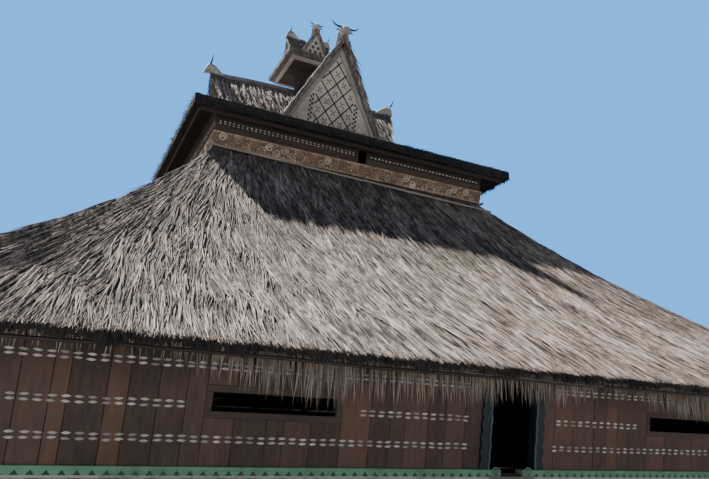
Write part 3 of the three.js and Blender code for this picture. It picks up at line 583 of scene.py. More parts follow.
plank_gap = 0.0025
seen_edges = (-8.0, -7.15, -6.78, -6.56, -6.244, -6.07, -5.675, -5.451, -5.12, -4.80, -4.57)
seen_tones = (0.42, 0.30, 0.44, 0.46, 0.58, 0.24, 0.62, 0.28, 0.34, 0.42)
plank_groups, frame_groups = [], []
for side in sides:
    stops = [-past_corner, past_corner]
    for middle in windows[side]:
        stops += [middle - window_half - frame_wide, middle + window_half + frame_wide]
    if side in long_sides:
        stops += [-door_half, door_half]
    stops.sort()
    for index, (start, stop) in enumerate(zip(stops[:-1], stops[1:])):
        start, stop = np.clip((start, stop), -wall_end[side], wall_end[side])
        edges = plank_edges(start, stop)
        edges = np.where(np.abs(edges) > wall_end[side] - 0.01, edges * 1.05, edges)
        tones = chance.choice([0.26, 0.32, 0.38, 0.44, 0.5, 0.58], len(edges) - 1)
        if side == "front" and start > 0:
            tones = tones + 0.12
        # Left of the front's first window the planks are the ones in the photograph
        if side == "front" and index == 0:
            edges, tones = np.array(seen_edges), np.array(seen_tones)
        # Planks stand over the door, and under and over each window
        middle = (start + stop) / 2
        bands = [(plank_foot, wall_top[side])]
        if side in long_sides and abs(middle) < 0.01:
            bands = [(door_frame_top, wall_top[side])]
        elif np.min(np.abs(np.array(windows[side]) - middle)) < 0.01:
            bands = [(plank_foot, window_low - frame_wide), (window_high + frame_wide, wall_top[side])]
        for low, high in bands:
            lift = chance.uniform(-0.003, 0.003, (len(edges) - 1, 1, 1))
            plank_groups.append(walls.boards(side, edges[:-1] + plank_gap, edges[1:] - plank_gap, low, high,
                                             plank_deep, lift, tone=tones))
    for middle in windows[side]:
        left, right = middle - window_half, middle + window_half
        far_left, far_right = left - frame_wide, right + frame_wide
        frame_groups.append(walls.boards(
            side, [far_left, far_left, far_left, right], [far_right, far_right, left, far_right],
            [window_low - frame_wide, window_high, window_low, window_low],
            [window_low, window_high + frame_wide, window_high, window_high], frame_deep, 0.005,
            tone=chance.uniform(0.3, 0.45, 4),
        ))
# The planks are painted darker from 2.40 m up to 3.05 m: painted shade under the eave
plank_wood = wood("plank_wood", [(47, 39, 36), (80, 65, 56), (101, 79, 66), (120, 89, 68), (138, 100, 72)],
                  (52, 46, 41), (16, 16, 0.5), patch=1.4, painted_shade=(2.40, 3.05, 0.62))
wall_nodes = [f"{side}_wall_{part}" for side in long_sides for part in ("left", "right", "over_door")]
add_piece("planks", plank_groups, plank_wood, "board", *wall_nodes, "side_wall_left", "side_wall_right")
frame_wood = wood("window_frame_wood", [(48, 41, 37), (86, 71, 61), (112, 92, 78)], (46, 40, 36), (5, 5, 5))
add_piece("window_frames", frame_groups, frame_wood, "board")


# Stitches: the planks are tied with black palm cord and the knots are picked out in white, in double
# rows along the walls. Each one is a flat lens of cord lying on the wood.
def lenses(centres, along, upward, long, high, thick, tone):
    """Lens-shaped knots: four rings of five corners along each one, two full and two small at the ends,
    with one corner of every ring on the crest."""
    centres, along, upward = (np.reshape(vectors, (-1, 1, 3)) for vectors in (centres, along, upward))
    place = np.array([-1, -0.32, 0.32, 1])[:, None] * long / 2
    size = np.array([0.08, 0.95, 0.95, 0.08])[:, None, None]
    angle = np.pi / 2 + np.linspace(0, 2 * np.pi, 5, endpoint=False)
    outline = np.stack([np.cos(angle) * high / 2, np.sin(angle) * thick], -1)
    return carried(centres + along * place, upward, np.cross(along, upward), size * outline, tone)


def knot_row(side, spans, height, face, long=0.102, high=0.033, pitch=0.136, thick=0.010):
    """A row of knots on a leaning face over spans (from, to), each a little out of place and turned.
    They stand a tenth wider apart in spans that end right of the middle."""
    s = np.concatenate([np.arange(start + pitch / 2, stop, pitch * (1.0 if stop < 0 else 1.1))
                        for start, stop in spans])
    s = s + chance.normal(0, 0.004, len(s))
    z = height + chance.normal(0, 0.003, len(s))
    centres = face.point(side, s, z, 0.002)
    beside = unit(face.point(side, s + 0.1, z, 0.002) - centres)
    above = unit(face.point(side, s, z + 0.1, 0.002) - centres)
    tilt = chance.normal(0, 0.045, len(s))[:, None]
    along = np.cos(tilt) * beside + np.sin(tilt) * above
    upward = np.cos(tilt) * above - np.sin(tilt) * beside
    return lenses(centres, along, upward, long, high, thick, tone=chance.uniform(0.35, 1.0, len(s)))


knot_rows = (
    (1.904, by_side([(-7.58, -0.79), (0.74, 7.58)], [(-9.3, 9.3)])),
    (2.282, by_side([(-7.64, -4.84), (-2.556, -0.746), (0.799, 2.553), (4.84, 7.64)],
                    [(-9.35, -4.4), (-2.2, 2.2), (4.4, 9.35)])),
    (2.735, by_side([(-7.72, -0.80), (0.80, 7.72)], [(-9.4, 9.4)])),
)
knot_groups = [knot_row(side, spans[side], height + shift, walls)
               for side in sides for height, spans in knot_rows for shift in (-0.027, 0.027)]
cord_white = wood("whitened_cord", [(92, 85, 76), (176, 168, 156), (224, 217, 206)], (88, 80, 72),
                  (30, 30, 60), stained=0.5, patch=5.0, relief=0.6, vary=0.5)
add_piece("wall_knots", knot_groups, cord_white, "board", smooth=True)

# Door frames: two heavy jambs with scalloped edges and a head piece, carved from thick planks and
# stained almost black with a blue-green cast.
jamb_stations, jamb_thick, scallop = 60, 0.15, 0.185
jamb_z = np.linspace(1.5999, 2.952, jamb_stations)
jamb_wave = np.sin((jamb_z - wall_low) / scallop * 2 * np.pi)
jamb_outer = 0.572 + 0.014 * jamb_wave
jamb_inner = 0.40 + 0.004 * np.sin((jamb_z - wall_low) / (2 * scallop) * 2 * np.pi)
jamb_wide = np.stack([jamb_outer - jamb_inner, np.ones(jamb_stations)], -1)[:, None]
jamb_outline = plank_outline(1.0, jamb_thick, 0.016) * jamb_wide
jamb_groups = []
for side in long_sides:
    along, outward = sides[side]
    ahead = walls.ahead(side)
    for hand in (-1, 1):
        middle = walls.point(side, hand * (jamb_outer + jamb_inner) / 2, jamb_z, 0.032 - jamb_thick / 2)
        jamb_groups.append(carried(middle, along, -outward, jamb_outline, tone=0.45))
        # A pale bead follows the inner, scalloped edge: a painted highlight along the jamb's edge
        bead = walls.point(side, hand * (jamb_inner + 0.022 + 0.007 * jamb_wave), jamb_z, 0.036)
        jamb_groups.append(carried(bead, along, -outward, plank_outline(0.030, 0.018, 0.006), tone=0.85))
    # The head piece, and a thin ledge on its front
    for half, low, high, lift, depth, bevel, tone in (
        (0.575, 2.95, 3.052, 0.038, 0.158, 0.014, 0.5), (0.45, 2.975, 3.0, 0.050, 0.02, 0.006, 0.8),
    ):
        head = walls.point(side, *oblong(-half, half, low, high), lift)
        jamb_groups.append(boards(head, ahead, depth, bevel, tone=tone))
door_wood = wood("door_frame_wood", [(13, 21, 24), (25, 39, 43), (90, 110, 112)], (22, 24, 24),
                 (16, 16, 2.5), rough=0.6, vary=0.5)
add_piece("door_frames", jamb_groups, door_wood, "frame", "door_frame_front", "door_frame_back")

# Wall plates, roof ring and rafters: round and squared timber under the thatch, black with smoke. They
# keep the CAD's shape.
smoked = [(26, 22, 20), (52, 44, 39), (80, 68, 58)]
plate_wood = wood("wall_plate_wood", smoked, (24, 22, 20), (3, 3, 9), tone=0.5)
rafter_wood = wood("rafter_wood", smoked, (24, 22, 20), (4, 4, 4), tone=0.5)
dress("wall_plate", plate_wood)
dress("roof_ring", plate_wood)
for side in sides:
    dress(f"rafters_{side}", rafter_wood)

# Bamboo battens: thin poles tied along the rafters' ends under the eaves and along the head of the
# thatch, grey with age.
# Each pole: its ends along the side, how far out it starts and how much farther out it ends, its height
# and how much it falls, its radius and its tone.
pole_rows = by_side(
    [(-8.3, 8.3, 10.22, 0.0, 2.80, 0.03, 0.020, -0.4), (-1.5, 1.0, 10.33, -0.06, 2.81, 0.03, 0.015, 0.35),
     (-3.74, 3.74, 4.225, 0.28, 8.205, 0.308, 0.028, 0.95)],
    [(-10.1, 10.1, 8.43, 0.0, 2.80, 0.03, 0.020, -0.4),
     (-4.26, 4.26, 3.692, 0.0, 8.205, 0.0, 0.028, 0.95)],
)
pole_turn = np.linspace(0, 2 * np.pi, 10, endpoint=False)
pole_round = np.stack([np.cos(pole_turn), np.sin(pole_turn)], -1)
pole_run = np.linspace(0, 1, 40)
joint_pitch = 0.42
pole_groups = []
for side, (along, outward) in sides.items():
    for left, right, out, slip, height, fall, radius, tone in pole_rows[side]:
        s = left + (right - left) * pole_run
        joints = np.round(s / joint_pitch) * joint_pitch % (2 * joint_pitch) / (2 * joint_pitch)
        path = spot(side, s, out + slip * pole_run, height - fall * pole_run)
        path = path + up * chance.normal(0, 0.004, 40)[:, None]
        outline = pole_round * (radius * (1 + 0.12 * joints))[:, None, None]
        pole_groups.append(carried(path, up, outward, outline, tone=tone))
bamboo = wood("grey_bamboo", [(46, 39, 34), (112, 100, 86), (158, 148, 132)], (74, 66, 58), (2.5, 2.5, 2.5),
              rough=0.55, relief=0.15, vary=0.5)
add_piece("bamboo_poles", pole_groups, bamboo, "bamboo", smooth=True)

# Main thatch: sugar palm and grass laid in thick overlapping courses over the hipped roof and fanned
# round its corners. It is dry and pinkish grey, with dark gaps and mossy patches.
head_half = by_side((3.595, 4.128), (4.128, 3.595))
eave_half = by_side((8.76, 10.55), (10.55, 8.76))
roof_head, roof_drop, roof_sag = 8.2, 5.20, 0.38
round_from, round_off = 0.82, 3.1


def slope_frame(side, t, u):
    """On a main slope, t down it from 0 to 1 and u across it from hip to hip, -1 to 1: the point, the
    way down and the way out of the roof. Height is head - drop * (t + sag * t * (1 - t)), less the
    square of how far t is past 0.82, which rounds the thatch off at the eave. The way down is straight
    in the middle and turns along the hips with the fourth power of u."""
    along, outward = sides[side]
    head_along, head_out = head_half[side]
    wide = eave_half[side][0] - head_along
    far = eave_half[side][1] - head_out
    past = np.maximum(t - round_from, 0)
    height = roof_head - roof_drop * (t + roof_sag * t * (1 - t)) - round_off * past ** 2
    fall = roof_drop * (1 + roof_sag * (1 - 2 * t)) + 2 * round_off * past
    down = unit(spot(side, u * np.abs(u) ** 3 * wide, far, -fall))
    point = spot(side, u * (head_along + wide * t), head_out + far * t, height)
    return point, down, unit(np.cross(down, along))


def straws(root, ahead, out, length, width, tone_root, tone_tip):
    """Straws: at the root a triangle across the straw, flat side down, whose corners meet in a point at
    length along ahead. Each straw has its own two tones."""
    side = unit(np.cross(ahead, out)) * width[:, None]
    crest = root + out * width[:, None] * 0.35
    tip = root + ahead * np.reshape(length, (-1, 1))
    points = np.stack([root - side / 2, root + side / 2, crest, tip], 1)
    faces = 4 * np.arange(len(root))[:, None, None] + np.array([[0, 1, 2], [1, 0, 3], [0, 2, 3], [2, 1, 3]])
    tones = np.broadcast_arrays(tone_root, tone_root, tone_root, tone_tip)
    return points.reshape(-1, 3), faces.reshape(-1, 3), np.stack(tones, 1)


def turned(ahead, out, angle, lift):
    """The way ahead turned about out by angle, and raised by lift along out."""
    angle = angle[:, None]
    return ahead * np.cos(angle) + np.cross(out, ahead) * np.sin(angle) + out * np.reshape(lift, (-1, 1))


def straw_material(name, stops, moss, patch=0.55, mossy=0.5, tone=None, stretch=(2, 2, 2), vary=0.5):
    """Dry straw: its colours follow the straw's tone, broken up by streaks and by patches of dark moss.
    A bed of straw has one tone for the whole piece, broken up by the grain's height."""
    material, tree, shader, place = start_material(name)
    grained = use_group(tree, grain, Vector=place, Stretch=stretch)
    if tone is None:
        tone = add_node(tree, "ShaderNodeAttribute", {"attribute_name": "tone"}).outputs["Fac"]
        swing = worked(tree, "MULTIPLY_ADD", grained["Streaks"], vary, -vary / 2)
    else:
        swing = worked(tree, "MULTIPLY_ADD", grained["Height"], 1.6, -1.12)
    colour = ramp(tree, worked(tree, "ADD", swing, tone, clamp=True), *stops)
    colour = stained_colour(tree, place, colour, moss, mossy, patch)
    finish(tree, shader, colour, 0.9, grained["Height"], 0.4, 0.03)
    return material


straw_stops = [(36, 32, 30), (101, 91, 83), (163, 150, 139), (218, 205, 192)]
straw_moss = (70, 64, 56)
straw_count = 21400
bed_t, bed_u = np.linspace(0, 1, 25), np.linspace(-1, 1, 41)
bed_head, bed_drop, bed_sag = 7.8, 4.9, 0.4311
box_half = np.array([8.76 + 0.12, 10.55 + 0.12, 20.0])


def held_in(blades):
    """The straws with the points that stand too far out of the house's box drawn in to its sides."""
    return (np.clip(blades[0], -box_half, box_half), *blades[1:])


for side, (along, outward) in sides.items():
    narrow = head_half[side][0] / eave_half[side][0]
    spread = chance.random(straw_count)
    t = (np.sqrt(narrow ** 2 + spread * (1 - narrow ** 2)) - narrow) / (1 - narrow)
    u = chance.uniform(-1, 1, straw_count)
    point, down, out = slope_frame(side, t, u)
    # Straws that start in one small field make a bundle of like direction, and in tufts of like tone
    across = point @ along
    field = (np.floor(across / 0.24).astype(int) + 60, np.floor(t * 15).astype(int))
    tuft = (np.floor(across / 0.085).astype(int) + 140, np.floor(t * 22).astype(int))
    bundle_tone = chance.normal(0, 0.13, (120, 20))[field]
    bundle_turn = chance.normal(0, 0.10, (120, 20))[field]
    tuft_tone = chance.beta(0.6, 0.66, (280, 26))[tuft]
    own_turn = chance.normal(0, 0.08, straw_count)
    ahead = unit(turned(down, out, (bundle_turn + own_turn) * (1 - 0.6 * u ** 4),
                        chance.uniform(0.01, 0.07 - 0.03 * u ** 4, straw_count)))
    room = (eave_half[side][1] + 0.09 - point @ outward) / (ahead @ outward)
    length = np.minimum(chance.uniform(0.40, 1.00, straw_count), room)
    width = chance.uniform(0.016, 0.042, straw_count)
    # Dark straws lie lower than pale ones and every straw is darkest at its root: painted shade in the gaps
    # between straws, over their own random tones
    pale = np.clip(0.62 * tuft_tone + 0.38 * chance.random(straw_count) + bundle_tone, 0, 1)
    rise = (0.048 - 0.024 * u ** 4) * pale - 0.012 + chance.uniform(-0.01, 0.01, straw_count)
    parts = (point + out * rise[:, None], ahead, out, length, width, 0.04 + 0.44 * pale, 0.10 + 0.90 * pale)
    keep = length > 0.08
    bed_stretch = (16, 3.5, 3.5) if side in long_sides else (3.5, 16, 3.5)
    straw = straw_material(f"grey_straw_{side}", straw_stops, straw_moss, stretch=bed_stretch, vary=2.0)
    add_piece(f"thatch_straws_{side}", [held_in(straws(*(part[keep] for part in parts)))], straw, "thatch")
    # The bed under them: the same surface, closed over the underside of the thatch
    over = slope_frame(side, bed_t[:, None], bed_u)[0]
    under = over.copy()
    underside = bed_head - bed_drop * (bed_t + bed_sag * bed_t * (1 - bed_t))
    under[..., 2] -= np.maximum(over[..., 2] - underside[:, None], 0.02)
    bed = straw_material(f"straw_bed_{side}", straw_stops, straw_moss, tone=0.24, stretch=bed_stretch)
    rings = np.concatenate([under, over[:, ::-1]], 1)[None]
    add_piece(f"thatch_bed_{side}", [skins(rings, tone=0.3)], bed, "thatch", f"thatch_{side}")


# Eave edges: the butts of the lowest courses hang over the last batten in a ragged pale edge. Under it
# hang black straws: older dark thatch, and painted shade under the eave.
def hanging(side, root, *, length, width, tone_root, tone_tip, slant, sway):
    """Straws that hang down from root, and slant outwards and sway along the side as they go."""
    along, outward = sides[side]
    fall = unit(-up + outward * slant[:, None] + along * sway[:, None])
    return straws(root, fall, outward, length, width, tone_root, tone_tip)


edge_stops = [(18, 16, 15), (62, 54, 49), (150, 137, 126), (222, 208, 195)]
edge_straw = straw_material("eave_straw", edge_stops, straw_moss, patch=0.8, mossy=0.4)
black_top = 2.885
pale_groups, black_groups = [], []
for side, (along, outward) in sides.items():
    half_along, half_out = eave_half[side]
    # Pale butts lie along the slope and reach a little past its edge
    count = int(240 * half_along * 2)
    point, down, out = slope_frame(side, chance.uniform(0.945, 0.998, count), chance.uniform(-1, 1, count))
    ahead = unit(turned(down, out, chance.normal(0, 0.12, count), chance.uniform(-0.05, 0.05, count)))
    tips = half_out + 0.055 + 0.02 * np.sin(point @ along * 9.1) + chance.uniform(-0.035, 0.045, count)
    length = np.clip((tips - point @ outward) / (ahead @ outward), 0.05, 0.6)
    pale = chance.beta(1.6, 1.1, count)
    width = chance.uniform(0.020, 0.055, count)
    pale_groups.append(held_in(straws(point + out * 0.012, ahead, out, length, width, 0.15 + 0.40 * pale,
                                      0.18 + 0.82 * pale)))
    # Black butts, in three layers behind the pale ones: older dark thatch and painted shade under the eave
    count = int(130 * half_along * 2)
    layer = chance.integers(0, 3, count) / 2
    s = chance.uniform(-1, 1, count) * (half_along - 0.04 - 0.12 * layer)
    black_groups.append(hanging(
        side, spot(side, s, half_out - 0.02 - 0.12 * layer, black_top),
        slant=chance.normal(0, 0.06, count), sway=chance.normal(0, 0.20, count),
        length=chance.uniform(0.055, 0.125, count) + 0.03 * np.sin(s * 5.1) + 0.025 * np.sin(s * 13.7),
        width=chance.uniform(0.06, 0.12, count), tone_root=np.zeros(count), tone_tip=0.08,
    ))
add_piece("eave_straws", pale_groups, edge_straw, "thatch")
add_piece("eave_black_straws", black_groups, edge_straw, "thatch")

# Fringe: loose fibres hang from the rafters in front of the walls, thickest over the windows. Marks
# along the front give how long they are there and how many of them stay.
fringe_marks = np.array([-7.9, -6.3, -5.2, -4.5, -3.4, -2.4, -1.6, -0.7, 0, 0.7, 1.6, 2.6, 3.4, 5, 7.9])
fringe_drops = np.array([50, 52, 56, 72, 92, 80, 80, 76, 72, 74, 52, 66, 82, 84, 76]) / 100
fringe_fill = np.array([12, 14, 18, 34, 52, 45, 50, 66, 30, 50, 26, 46, 85, 90, 80]) / 100
fringe_top = 3.24
fringe_groups = []
for side in sides:
    half = wall_end[side] + 0.2
    s = chance.uniform(-half, half, int(800 * half))
    mark = s * fringe_marks[-1] / half
    keep = chance.random(len(s)) < np.interp(mark, fringe_marks, fringe_fill)
    s, mark = s[keep], mark[keep]
    count = len(s)
    drop = np.interp(mark, fringe_marks, fringe_drops) * chance.uniform(0.50, 1.10, count)
    near = walls.base[side] + (fringe_top - 0.04 - wall_low) * walls.lean + chance.uniform(0.07, 0.26, count)
    fringe_groups.append(hanging(
        side, spot(side, s, near, fringe_top), sway=chance.normal(0, 0.09, count),
        slant=-chance.uniform(0, 0.07, count), length=drop, width=chance.uniform(0.018, 0.046, count),
        tone_root=chance.uniform(0.0, 0.35, count), tone_tip=chance.uniform(0.45, 1.1, count),
    ))
fibre = straw_material("hanging_fibre", [(58, 50, 44), (146, 131, 115), (226, 212, 194)], (84, 72, 62),
                       patch=2.0)
add_piece("hanging_fibres", fringe_groups, fibre, "thatch")

# Drum: a low wall of boards between the two roofs, leaning out by eight degrees, tied with whitened cord
# like the walls below, with a small hatch in the front and the back.
drum_low, drum_top = 8.2, by_side(9.09, 9.13)
drum = LeaningFace(by_side(4.128, 3.595), by_side(3.593, 4.126), drum_low, math.tan(math.radians(8)))
hatch_middle, hatch_half = 0.05, 0.112
drum_past, drum_knots, front_knots, side_knots = 5.0, 8.785, 3.62, 4.15
drum_groups, knot_groups = [], []
for side in sides:
    middle = hatch_middle * sides[side][0][0]
    for low, high in ((7.76, 8.225), (8.228, 8.56), (8.563, 8.735), (8.740, 8.905), (8.91, drum_top[side])):
        edges = np.concatenate([[-drum_past], np.sort(chance.uniform(-3.0, 3.0, 2)), [drum_past]])
        left, right = edges[:-1], edges[1:]
        if side in long_sides and 8.5 < low < 8.9:
            left = np.array([-drum_past, middle + hatch_half])
            right = np.array([middle - hatch_half, drum_past])
        drum_groups.append(drum.boards(side, left + 0.001, right - 0.001, low, high, 0.055, 0.0, 0.006,
                                       tone=chance.uniform(0.15, 0.6, len(left))))
    # A double row of knots; on the long sides it ends at the hatch, and a row of larger ones goes on
    spans = [(-side_knots, side_knots)]
    if side in long_sides:
        spans = [(-front_knots, middle - 0.2), (middle + 0.2, front_knots)]
    for shift in (-0.026, 0.026):
        knot_groups.append(knot_row(side, spans[:1], drum_knots + shift, drum, 0.058, 0.030, 0.105, 0.009))
    if side in long_sides:
        knot_groups.append(knot_row(side, spans[1:], drum_knots + 0.01, drum, 0.062, 0.048, 0.098, 0.010))
drum_wood = wood("drum_wood", [(36, 30, 27), (62, 50, 44), (84, 68, 58), (106, 88, 74)], (30, 27, 26),
                 (1.2, 1.2, 12), stained=0.5)
add_piece("drum_boards_all", drum_groups, drum_wood, "board", *[f"drum_boards_{side}" for side in sides])
add_piece("drum_knots", knot_groups, cord_white, "board", smooth=True)

# Carved band: a board right round the foot of the drum, carved in low relief with running curls and
# leaves. The relief is worn gold and beige over a dark ground.
band_low, band_middle, band_high, band_thick = 8.225, 8.392, 8.56, 0.042
band_ground = wood("band_ground", [(64, 53, 43), (122, 103, 83), (166, 143, 116)], (54, 42, 34), (9, 9, 18),
                   tone=0.45)
dress("carved_band", band_ground)
curl_pitch = 0.185
curl_angle = np.linspace(0, 3.2 * np.pi, 15)
curl_size = 0.098 * (1 - 0.78 * curl_angle / curl_angle[-1])
curl_swell = (0.6 + 0.4 * np.sin(np.linspace(0.3, 2.8, len(curl_angle))))[:, None, None]
curl_outline = pole_round[::2] * [0.015, 0.016] * curl_swell
leaves = ((0.7, 0.5, 0.115), (-0.7, 0.5, -0.115), (1.3, 0.5, 0.045), (-1.1, 0.5, -0.05), (0.2, 0.0, 0.125),
          (-0.3, 0.0, -0.12))
relief_groups = []
for side, (along, outward) in sides.items():
    out = drum.ahead(side)
    across = drum.ends[side] + 0.002
    middles = np.arange(-across + 0.02 + curl_pitch / 2, across - 0.02 - curl_pitch / 3, curl_pitch)
    hand = np.where(np.arange(len(middles)) % 2 == 0, 1.0, -1.0)[:, None]
    s = middles[:, None] + curl_size * np.cos(curl_angle) * hand
    z = band_middle + 0.038 * hand + curl_size * np.sin(curl_angle) * hand
    path = drum.point(side, s, z, band_thick + 0.002)
    relief_groups.append(carried(path, np.cross(out, heading(path)), out, curl_outline,
                                 tone=chance.uniform(0.3, 1.0, len(middles))))
    # Each leaf: its tilt, its place in the curls' pitch and its height above the band's middle
    for tilt, shift, rise in leaves:
        centres = drum.point(side, middles[:-1] + curl_pitch * shift, band_middle + rise, band_thick)
        leaf_along = np.broadcast_to(along * math.cos(tilt) + up * math.sin(tilt), centres.shape)
        leaf_up = up * math.cos(tilt) - along * math.sin(tilt)
        relief_groups.append(lenses(centres, leaf_along, leaf_up, 0.080, 0.030, 0.016,
                                    tone=chance.uniform(0.2, 1.0, len(centres))))
    for edge in (band_low + 0.014, band_high - 0.014):
        half = across + (edge - drum_low) * drum.lean + band_thick
        rail = drum.point(side, np.array([-half, half]), edge, band_thick)
        edge_outline = plank_outline(0.026, 0.024, 0.006)
        relief_groups.append(carried(rail, np.cross(out, along), out, edge_outline, tone=0.6))
worn_gold = wood("worn_gold", [(104, 82, 62), (172, 132, 94), (194, 174, 142), (232, 220, 198)], (62, 50, 40),
                 (7, 7, 7), stained=0.75, patch=2.6, rough=0.7, vary=1.2)
add_piece("carved_curls", relief_groups, worn_gold, "band", smooth=True)


# Upper eave: a low skirt of black palm fibre thatch over the drum, ragged at its edge, with a brown
# board under the edge.
def slope_axes(level, pitch):
    """The way down and the way out of a slope that falls by pitch in every metre along level."""
    size = math.hypot(1, pitch)
    return (level - pitch * up) / size, (pitch * level + up) / size


upper_half = by_side((4.28, 4.70), (4.70, 4.28))
upper_top, upper_rise, upper_run, upper_thick, fascia_height = 9.085, 0.42, 2.6, 0.17, 8.845
fibre_stops = [(20, 19, 19), (42, 40, 38), (72, 67, 62), (108, 101, 93)]
black_fibre = straw_material("black_fibre", fibre_stops, (30, 32, 26), patch=1.2)
black_bed = straw_material("black_fibre_bed", fibre_stops, (26, 27, 22), patch=1.2, tone=0.2,
                           stretch=(9, 9, 3))
dress("upper_eave_thatch", black_bed)
fascia_groups, eave_groups = [], []
for side, (along, outward) in sides.items():
    half_along, half_out = upper_half[side]
    # Fibres that lie on the skirt
    count = int(400 * half_along)
    back = upper_run * chance.random(count) ** 1.2
    s = chance.uniform(-1, 1, count) * (half_along - back)
    point = spot(side, s, half_out - back, upper_top + upper_rise * back)
    down, out = slope_axes(outward, upper_rise)
    ahead = turned(down, out, chance.normal(0, 0.25, count), chance.uniform(0.0, 0.16, count))
    length = np.minimum(chance.uniform(0.25, 0.6, count), back * 1.08 + 0.08)
    pale = chance.beta(1.6, 3.0, count)
    width = chance.uniform(0.02, 0.045, count)
    eave_groups.append(straws(point, ahead, out, length, width, 0.05 + 0.3 * pale, 0.2 + 0.6 * pale))
    # Fibres that hang over its edge
    count = int(340 * half_along)
    layer = chance.random(count)
    s = chance.uniform(-1, 1, count) * (half_along - 0.03)
    eave_groups.append(hanging(
        side, spot(side, s, half_out - 0.02 + 0.01 * layer, upper_top - upper_thick * layer),
        slant=chance.uniform(0.0, 0.45, count), sway=chance.normal(0, 0.35, count),
        length=chance.uniform(0.06, 0.13, count) + (0.04 + 0.02 * np.sin(s * 6.3) + 0.02 * np.sin(s * 17.1)),
        width=chance.uniform(0.02, 0.05, count), tone_root=0.05, tone_tip=chance.uniform(0.05, 0.5, count),
    ))
    path = spot(side, [0.17 - half_along, half_along - 0.17], half_out - 0.16, fascia_height)
    fascia_groups.append(carried(path, up, outward, plank_outline(0.10, 0.03, 0.006), tone=0.6))
add_piece("upper_eave_fibres", eave_groups, black_fibre, "thatch")
fascia_wood = wood("eave_board_wood", [(28, 23, 21), (48, 39, 34), (68, 56, 48)], (28, 25, 23), (2, 2, 12))
add_piece("upper_eave_boards", fascia_groups, fascia_wood, "board")

# Gable thatch: four steep roofs cross over the middle. Their straw lies down both slopes, and the open
# ends lean out over the woven panels.
# Each gable: its ridge's height and reach at the end, and how far out thatch and panel are at the foot
gables = {
    "front": (13.11, 3.10, 1.8885, 1.985), "right": (12.82, 3.15, 2.0517, 2.1168),
    "back": (13.11, 3.10, 1.8885, 1.985), "left": (12.61, 3.15, 2.0517, 2.1168),
}
ridge_middle, gable_pitch, gable_foot = 12.78, 1.6983, 8.885
thatch_lean = math.tan(math.radians(16))
gable_straw_count = 6000


def ridge_height(side, far):
    """Height of a gable's ridge at far from the middle: a sagging line that ends straight."""
    apex, reach = gables[side][:2]
    return np.interp(far / reach, [0, 0.3, 0.6, 1.0],
                     ridge_middle + (apex - ridge_middle) * np.array([0, 0.09, 0.36, 1.0]))


bundle_stops = [(62, 56, 53), (126, 116, 109), (180, 168, 159), (222, 210, 200)]
gable_straw = straw_material("gable_straw", bundle_stops, (58, 52, 50), patch=1.3)
gable_bed = straw_material("gable_straw_bed", bundle_stops, (52, 47, 45), patch=1.3, tone=0.28,
                           stretch=(14, 14, 2))
for side, (along, outward) in sides.items():
    apex, reach, thatch_base = gables[side][:3]
    eave_along, eave_out = upper_half[side]
    loose = 0.10 if side in long_sides else 0.30
    blades = []
    for hand in (-1, 1):
        far = chance.uniform(0.28, reach + 0.05, gable_straw_count)
        z = chance.uniform(9.9, apex, gable_straw_count)
        ridge = ridge_height(side, far)
        beside = (ridge - z) / gable_pitch
        end = thatch_base + (z - gable_foot) * thatch_lean
        eave_top = upper_top + upper_rise * np.minimum(eave_out - far, eave_along - beside)
        keep = (z < ridge - 0.03) & (beside < far + 0.04) & (far < end - 0.02) & (z > eave_top + 0.05)
        far, z, beside, eave_top, ridge = far[keep], z[keep], beside[keep], eave_top[keep], ridge[keep]
        count = len(far)
        down, out = slope_axes(along * hand, gable_pitch)
        bunch = 0.5 + 0.5 * np.sin(far * 38 + 2.6 * np.sin(far * 7.3) + 1.3 * np.sin(z * 5) + 3 * hand)
        rise = 0.01 + loose * chance.uniform(0, 1, count) * (0.3 + 0.7 * bunch)
        # Under the battens beside the ridge the straw lies flat
        rise = np.where(z > ridge - 0.27, 0.005, rise)
        ahead = turned(down, out, chance.normal(0, 0.10, count), rise)
        length = np.minimum(chance.uniform(0.25, 0.6, count), (z - eave_top) * 1.2 + 0.12)
        # Tufts that stand out are paler and those that lie low darker: painted light on the raised bundles
        # and painted shade between them, over their own tones
        pale = np.clip(bunch * 0.75 + chance.normal(0.12, 0.18, count), 0, 1)
        blades.append(straws(spot(side, hand * beside, far, z), ahead, out, length,
                             chance.uniform(0.035, 0.072, count), 0.02 + 0.4 * pale, 0.12 + 0.88 * pale))
    add_piece(f"gable_straws_{side}", blades, gable_straw, "thatch")
    dress(f"gable_thatch_{side}", gable_bed)

# Gable panels: a mat of split bamboo between two grey barge boards, crossed by dark strips that make a
# row of lozenges with a small flower in each, and a chequered strip down both sides.
panel_base = {side: gables[side][3] for side in sides}
panels = LeaningFace(panel_base, None, gable_foot, math.tan(math.radians(11.7)))
panel_low, panel_sunk = 9.96, 0.040
barge_inner = 0.53
lozenge_wide, lozenge_high, net_half_wide = 0.48, 0.57, 0.60
square_wide, square_high, square_pitch = 0.040, 0.046, 0.066


def panel_edge(side, z, drop):
    """Half the width at height z of a gable whose edge lies drop below the roof's."""
    return (gables[side][0] - drop - z) / gable_pitch


def barge_spots(hand, apex, low, outer, inner, pitch):
    """The outline of one barge board: two lines that lie outer and inner below the roof's, from low up
    to the middle. First how far along, then the heights."""
    inside, outside = (hand * (apex - drop - low) / pitch for drop in (inner, outer))
    return np.array([(inside, low), (outside, low), (0, apex - outer), (0, apex - inner)])[::hand].T


